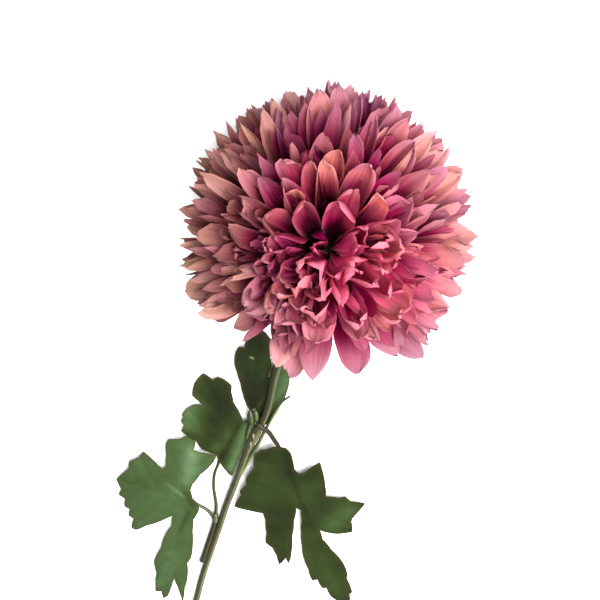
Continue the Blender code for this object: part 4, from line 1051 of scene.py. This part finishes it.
print("stem")
stem = {
    "radius": 2.05, "sides": 24, "spacing": 2.0, "ridges": 0.022, "ridgeCount": 5,
    "jointPlace": -158.0, "jointBulge": 0.9, "jointLength": 7.0,
    "neckLength": 5.0, "calyxDepth": 27.0, "gap": 0.35, "shootSides": 12, "shootSpacing": 1.5,
    "route": (
        (17.5, -322, 2.05), (15.5, -294, 2.05), (14.2, -280, 2.05), (13.4, -266, 2.2),
        (12.9, -250, 2.6), (12.2, -230, 3.4), (11.4, -214, 4.2), (11.1, -195, 5.5),
        (11.0, -180, 6.5), (10.7, -167, 7.5), (11.0, -160, 8.0), (11.8, -152, 8.5),
        (12.7, -144, 9.0), (12.4, -134, 9.5), (10.8, -123, 10.0), (9.4, -112, 10.2),
        (8.6, -92, 10.4), (8.6, -72, 10.9), (8.8, -56, 12.6), (8.9, -43, 16.0), (8.6, -33.5, 20.6),
    ),
    # leaf, radius, share of it at the far end, dye, route; a height of None runs just under the named leaf
    "shoots": (
        ("", 1.7, 0.9, 0.2, ((10.4, -262.5, 2.5), (9.6, -248, 2.9), (9.0, -234, 3.5), (8.0, -225.5, 4.2))),
        ("", 1.5, 0.45, 0.4, (
            (12.2, -188, 6.2), (13.8, -176, 6.7), (15.2, -165, 7.0), (16.1, -154, 7.5), (17.6, -138, 8.5),
            (19.0, -130, 9.5), (21.5, -124.5, 10.8))),
        ("leaf_upper", 1.1, 0.8, 0.6, (
            (11.8, -149.5, 8.2), (8.0, -147.5, 6.7), (5.2, -145.0, None), (1.0, -136.0, None))),
        ("leaf_behind", 1.1, 0.8, 0.6, (
            (11.6, -156.0, 7.2), (12.8, -156.5, 4.9), (13.8, -152.0, None), (14.0, -141.0, None))),
        ("leaf_middle", 1.1, 0.8, 0.8, (
            (8.0, -226.5, 4.2), (5.5, -216.0, 4.8), (0.6, -204.0, 5.4), (-1.9, -194.0, 5.6),
            (-1.9, -185.0, None), (-3.5, -172.0, None))),
        ("leaf_lower_left", 1.1, 0.8, 0.6, (
            (8.4, -228.0, 3.9), (2.1, -222.0, 4.5), (-4.0, -220.0, None), (-15.0, -217.0, None))),
        ("leaf_lower_right", 1.5, 0.72, 1.0, (
            (10.4, -148.0, 10.0), (13.0, -149.5, 11.2), (17.5, -151.5, 10.9), (22.0, -156.0, 10.4),
            (26.5, -161.0, None), (37.0, -176.0, None))),
    ),
    "underBlade": 1.9,  # mm that a stalk's middle runs below the middle of its blade
    # short swollen scales where shoots leave the stem: both ends, radius in the middle, dye
    "scales": (
        ((10.0, -155.2, 10.3), (12.0, -159.4, 10.2), 1.3, 0.05),
        ((10.4, -161.4, 10.0), (12.6, -166.0, 9.4), 1.5, 0.05),
        ((7.8, -152.0, 8.2), (3.6, -141.8, 9.0), 2.1, 0.6),
        ((9.2, -148.5, 8.8), (6.4, -140.4, 9.4), 2.0, 0.6),
        ((7.6, -148.0, 8.0), (8.6, -164.0, 7.0), 1.9, 0.6),
        ((9.2, -231.0, 3.6), (6.6, -222.0, 4.6), 1.9, 0.5),
        ((10.6, -256.0, 2.9), (9.2, -264.0, 2.3), 1.5, 0.2),
    ),
    # dyes along the stem; round it from its dark side, painted shade on its flanks and a painted highlight
    # beside the middle; and of each kind of stalk: stem, pale scales (partly a painted highlight on the
    # knobs), side shoot, twig, green stalks, grey-green stalk, brown stalk
    "along": ((0.0, "#66654a"), (0.35, "#646346"), (0.5, "#6e6f50"), (0.56, "#565638"), (0.75, "#4e5130"),
              (1.0, "#3e442a")),
    "round": ((0.0, "#28220f"), (0.3, "#383520"), (0.5, "#565438"), (0.68, "#e8e8d0"), (0.85, "#a0a080"),
              (1.0, "#4c4a36")),
    "kinds": ((0.0, "#ffffff"), (0.05, "#8c8c68"), (0.2, "#45452c"), (0.4, "#848e66"), (0.6, "#52633e"),
              (0.8, "#5a523a"), (1.0, "#463d1c")),
    "blotch": 7.0, "grain": 0.3,  # mm
}


def sweptTube(route, radii, sides, ridges, kind, start):
    # rings of points round a route: radius * (1 + ridges * cos 5 angle), with filled ends; the layer
    # holds the share of the length, 0.5 + 0.5 cos angle (1 on the side towards +X) and the kind of stalk
    way = np.gradient(route, axis=0)
    way /= np.linalg.norm(way, axis=1, keepdims=True)
    side = np.cross(way, (0.0, 0.0, 1.0))
    side /= np.linalg.norm(side, axis=1, keepdims=True)
    over = np.cross(side, way)
    turn = np.arange(sides) * 2 * math.pi / sides
    ring = radii[:, None] * (1 + ridges * np.cos(stem["ridgeCount"] * turn)[None])
    points = (route[:, None] + (ring * np.cos(turn))[..., None] * side[:, None]
              + (ring * np.sin(turn))[..., None] * over[:, None])
    count = len(route)
    rings = np.arange(count * sides).reshape(count, sides) + start
    faces = ringFaces(rings, start + count * sides, start + count * sides + 1)
    layer = np.ones((count, sides, 4))
    layer[..., 0] = np.linspace(0, 1, count)[:, None]
    layer[..., 1] = 0.5 + 0.5 * np.cos(turn)[None]
    layer[..., 2] = kind
    layer = np.vstack([layer.reshape(-1, 4), (0.0, 0.5, kind, 1.0), (1.0, 0.5, kind, 1.0)])
    return np.vstack([points.reshape(-1, 3), route[:1], route[-1:]]), faces, layer


neckTop = bloomCore - bloomAxis * (stem["calyxDepth"] + stem["gap"])
stemRoute = smoothRoute([*stem["route"], neckTop - bloomAxis * stem["neckLength"], neckTop], stem["spacing"])
joint = stem["jointBulge"] * np.exp(-(((stemRoute[:, 1] - stem["jointPlace"]) / stem["jointLength"]) ** 2))
tubes = [(stemRoute, stem["radius"] + joint, stem["sides"], stem["ridges"], 0.0)]
for leafName, radius, thinner, kind, route in stem["shoots"]:
    if leafName:
        leaf = leaves[leafName]
        route = [(x, y, float(bladeHeight(leaf, x, y)) - stem["underBlade"] if z is None else z)
                 for x, y, z in route]
    shootRoute = smoothRoute(route, stem["shootSpacing"])
    radii = radius * np.linspace(1.0, thinner, len(shootRoute))
    tubes.append((shootRoute, radii, stem["shootSides"], 0.0, kind))
for start, end, radius, kind in stem["scales"]:
    share = np.linspace(0.0, 1.0, 11)
    radii = radius * np.sqrt(np.clip(1.0 - (2.0 * share - 1.0) ** 2, 0.02, 1.0))  # radius * sqrt(1 - t^2)
    scaleRoute = np.array(start) + (np.array(end) - start) * share[:, None]
    tubes.append((scaleRoute, radii, stem["shootSides"], 0.0, kind))
stemPoints, stemFaces, stemLayer = np.empty((0, 3)), [], np.empty((0, 4))
for tube in tubes:
    points, faces, layer = sweptTube(*tube, len(stemPoints))
    stemPoints, stemLayer = np.vstack([stemPoints, points]), np.vstack([stemLayer, layer])
    stemFaces += faces

# moulded polyethylene: waxy, with a low broad shine, blotched as grown green is, with painted shade on
# the side away from the light and a painted highlight along it
stalkPlastic, tree = newMaterial("mouldedPolyethyleneStem")
stemData = addNode(tree, "Attribute", attribute_name="stemData")
lengthShare, roundShare, stalkKind = addNode(tree, "SeparateColor", {"Color": stemData}).outputs
stemDye, roundShadeAndHighlight, kindDye = (
    addNode(tree, "ValToRGB", {"Fac": place}, stem[key])
    for key, place in (("along", lengthShare), ("round", roundShare), ("kinds", stalkKind)))
onStem = addNode(tree, "Math", {0: stalkKind, 1: 0.03}, operation="LESS_THAN")
ownDye = addNode(tree, "Mix", {0: onStem, 6: kindDye, 7: stemDye}, data_type="RGBA")
# its own dye times the painted shade and highlight round the stalk
stalkDye = addNode(tree, "Mix", {0: 0.85, 6: ownDye, 7: roundShadeAndHighlight}, data_type="RGBA", blend_type="MULTIPLY")
stemSpot = addNode(tree, "TexCoord").outputs["Object"]
blotch = addNode(tree, "TexNoise", {"Vector": stemSpot, "Scale": 1 / (stem["blotch"] * mm), "Detail": 3.0})
blotchTone = addNode(tree, "MapRange", {
    "Value": blotch, "From Min": 0.3, "From Max": 0.7, "To Min": 0.78, "To Max": 1.12})
blotched = addNode(tree, "VectorMath", {0: stalkDye, 1: blotchTone}, operation="MULTIPLY")
stemBump = addNode(tree, "Bump", {"Strength": 0.3, "Distance": stem["grain"] * mm, "Height": blotch})
stemShader = addNode(tree, "BsdfPrincipled", {
    "Base Color": blotched, "Roughness": 0.5, "IOR": 1.51, "Specular IOR Level": 0.3, "Normal": stemBump})
addNode(tree, "OutputMaterial", {"Surface": stemShader})
makePiece("stemStalks", stemPoints, stemFaces, stalkPlastic, "stem", {"stemData": stemLayer})

print("calyx")
calyx = {
    "polar": 146.0, "wall": 1.6, "depth": 27.0, "side": ((10.6, -18.2), (8.4, -21.4), (5.0, -24.2)),
    "foot": 3.2, "gap": 0.35, "spacing": 0.8, "sectors": 52, "ribs": 0.02, "ribCount": 13, "bractWall": 0.5,
    # rows of bracts: count, turn, start (radius, depth), middle, tip, half width
    "bracts": (
        (13, 0.0, (7.0, 21.6), (11.5, 20.0), (15.0, 18.9), 2.2),
        (13, 0.24, (5.6, 23.6), (8.8, 22.0), (12.0, 20.4), 1.8),
        (9, 0.1, (3.6, 26.0), (5.8, 24.6), (8.2, 22.9), 1.3),
    ),
    "greens": ((0.0, "#6a7d3f"), (0.6, "#5b7037"), (0.9, "#77704a"), (1.0, "#8a7a58")),
    "blotch": 5.0, "grain": 0.3,  # mm
}
# the cup: a profile of (radius, depth) turned about the bloom's axis as radius * (1 + ribs * cos 13 turn)
hollow = bloom["coreRadius"] + calyx["gap"]
lip = math.radians(180.0 - calyx["polar"])
inside = [(hollow * math.sin(lip * k / 4), -hollow * math.cos(lip * k / 4)) for k in range(1, 5)]
outside = [(hollow * math.sin(lip) + calyx["wall"], -hollow * math.cos(lip) - 0.4 * calyx["wall"]),
           *calyx["side"], (calyx["foot"], -calyx["depth"])]
outside = smoothRoute([(radius, depth, 0) for radius, depth in outside], calyx["spacing"])[:, :2]
profile = np.vstack([inside, outside])
cupTurns = np.arange(calyx["sectors"]) * 2 * math.pi / calyx["sectors"]
ribbed = profile[:, 0, None] * (1 + calyx["ribs"] * np.cos(calyx["ribCount"] * cupTurns))
cupPoints = ribbed[..., None] * spokes(np.pi / 2, cupTurns) + profile[:, 1, None, None] * bloomAxis
cupPoints = np.vstack([cupPoints.reshape(-1, 3), -bloomAxis * hollow, -bloomAxis * calyx["depth"]])
cupRings = np.arange(len(cupPoints) - 2).reshape(-1, calyx["sectors"])
cupFaces = ringFaces(cupRings[::-1], len(cupPoints) - 1, len(cupPoints) - 2)

# bracts: start (1 - s)^2 + middle 2 s (1 - s) + tip s^2, as wide as (0.7 + 0.6 s) (1 - s^2.2)^0.6
s = np.linspace(0, 1, 8)[:, None]
u = np.linspace(-1, 1, 5)[None]
bractSheets = []
for number, firstTurn, root, middle, tip, halfWidth in calyx["bracts"]:
    turn = firstTurn + np.arange(number)[:, None, None] * 2 * math.pi / number
    radius, depth = (root[k] * (1 - s) ** 2 + 2 * middle[k] * s * (1 - s) + tip[k] * s**2 for k in (0, 1))
    depth = depth + 0.5 * (u**2 - 0.3)
    half = halfWidth * (0.7 + 0.6 * s) * (1 - s**2.2) ** 0.6 + 0.12
    out, sideways = spokes(np.pi / 2, turn), spokes(np.pi / 2, turn + np.pi / 2)
    bractSheets.append(bloomCore + radius[..., None] * out + (u * half)[..., None] * sideways
                       - depth[..., None] * bloomAxis)
bractSheets = np.vstack(bractSheets)
bractPoints, bractFaces, bractBorder, bractInner = thinSolids(bractSheets, calyx["bractWall"])
bractPlace = np.stack(np.meshgrid(s.ravel(), u.ravel() * 0.5 + 0.5, indexing="ij"), -1)
bractPlace = np.vstack([bractPlace.reshape(-1, 2), bractPlace[bractInner]])
bractLayer = np.tile(np.column_stack([bractPlace, np.ones((len(bractPlace), 2))]), (len(bractSheets), 1))
cupLayer = np.tile((0.35, 0.0, 0.0, 1.0), (len(cupPoints), 1))

# moulded polyethylene: waxy and blotched like the stem, lighter green, with dry brown tips
bractPlastic, tree = newMaterial("mouldedPolyethyleneCalyx")
bractData = addNode(tree, "Attribute", attribute_name="bractData")
fromRoot = addNode(tree, "SeparateColor", {"Color": bractData}).outputs["Red"]
bractGreens = addNode(tree, "ValToRGB", {"Fac": fromRoot}, calyx["greens"])
bractSpot = addNode(tree, "TexCoord").outputs["Object"]
bractScale = 1 / (calyx["blotch"] * mm)
bractBlotch = addNode(tree, "TexNoise", {"Vector": bractSpot, "Scale": bractScale, "Detail": 3.0})
bractTone = addNode(tree, "MapRange", {
    "Value": bractBlotch, "From Min": 0.3, "From Max": 0.7, "To Min": 0.75, "To Max": 1.15})
bractDye = addNode(tree, "HueSaturation", {"Value": bractTone, "Color": bractGreens})
bractBump = addNode(tree, "Bump", {"Strength": 0.4, "Distance": calyx["grain"] * mm, "Height": bractBlotch})
bractShader = addNode(tree, "BsdfPrincipled", {
    "Base Color": bractDye, "Roughness": 0.5, "IOR": 1.51, "Specular IOR Level": 0.4, "Normal": bractBump})
addNode(tree, "OutputMaterial", {"Surface": bractShader})
makePiece("calyxBracts", np.vstack([cupPoints + bloomCore, bractPoints.reshape(-1, 3)]),
          cupFaces + (bractFaces + len(cupPoints)).tolist(), bractPlastic, "calyx",
          {"bractData": np.vstack([cupLayer, bractLayer])},
          np.concatenate([np.zeros(len(cupPoints), bool), bractBorder]))
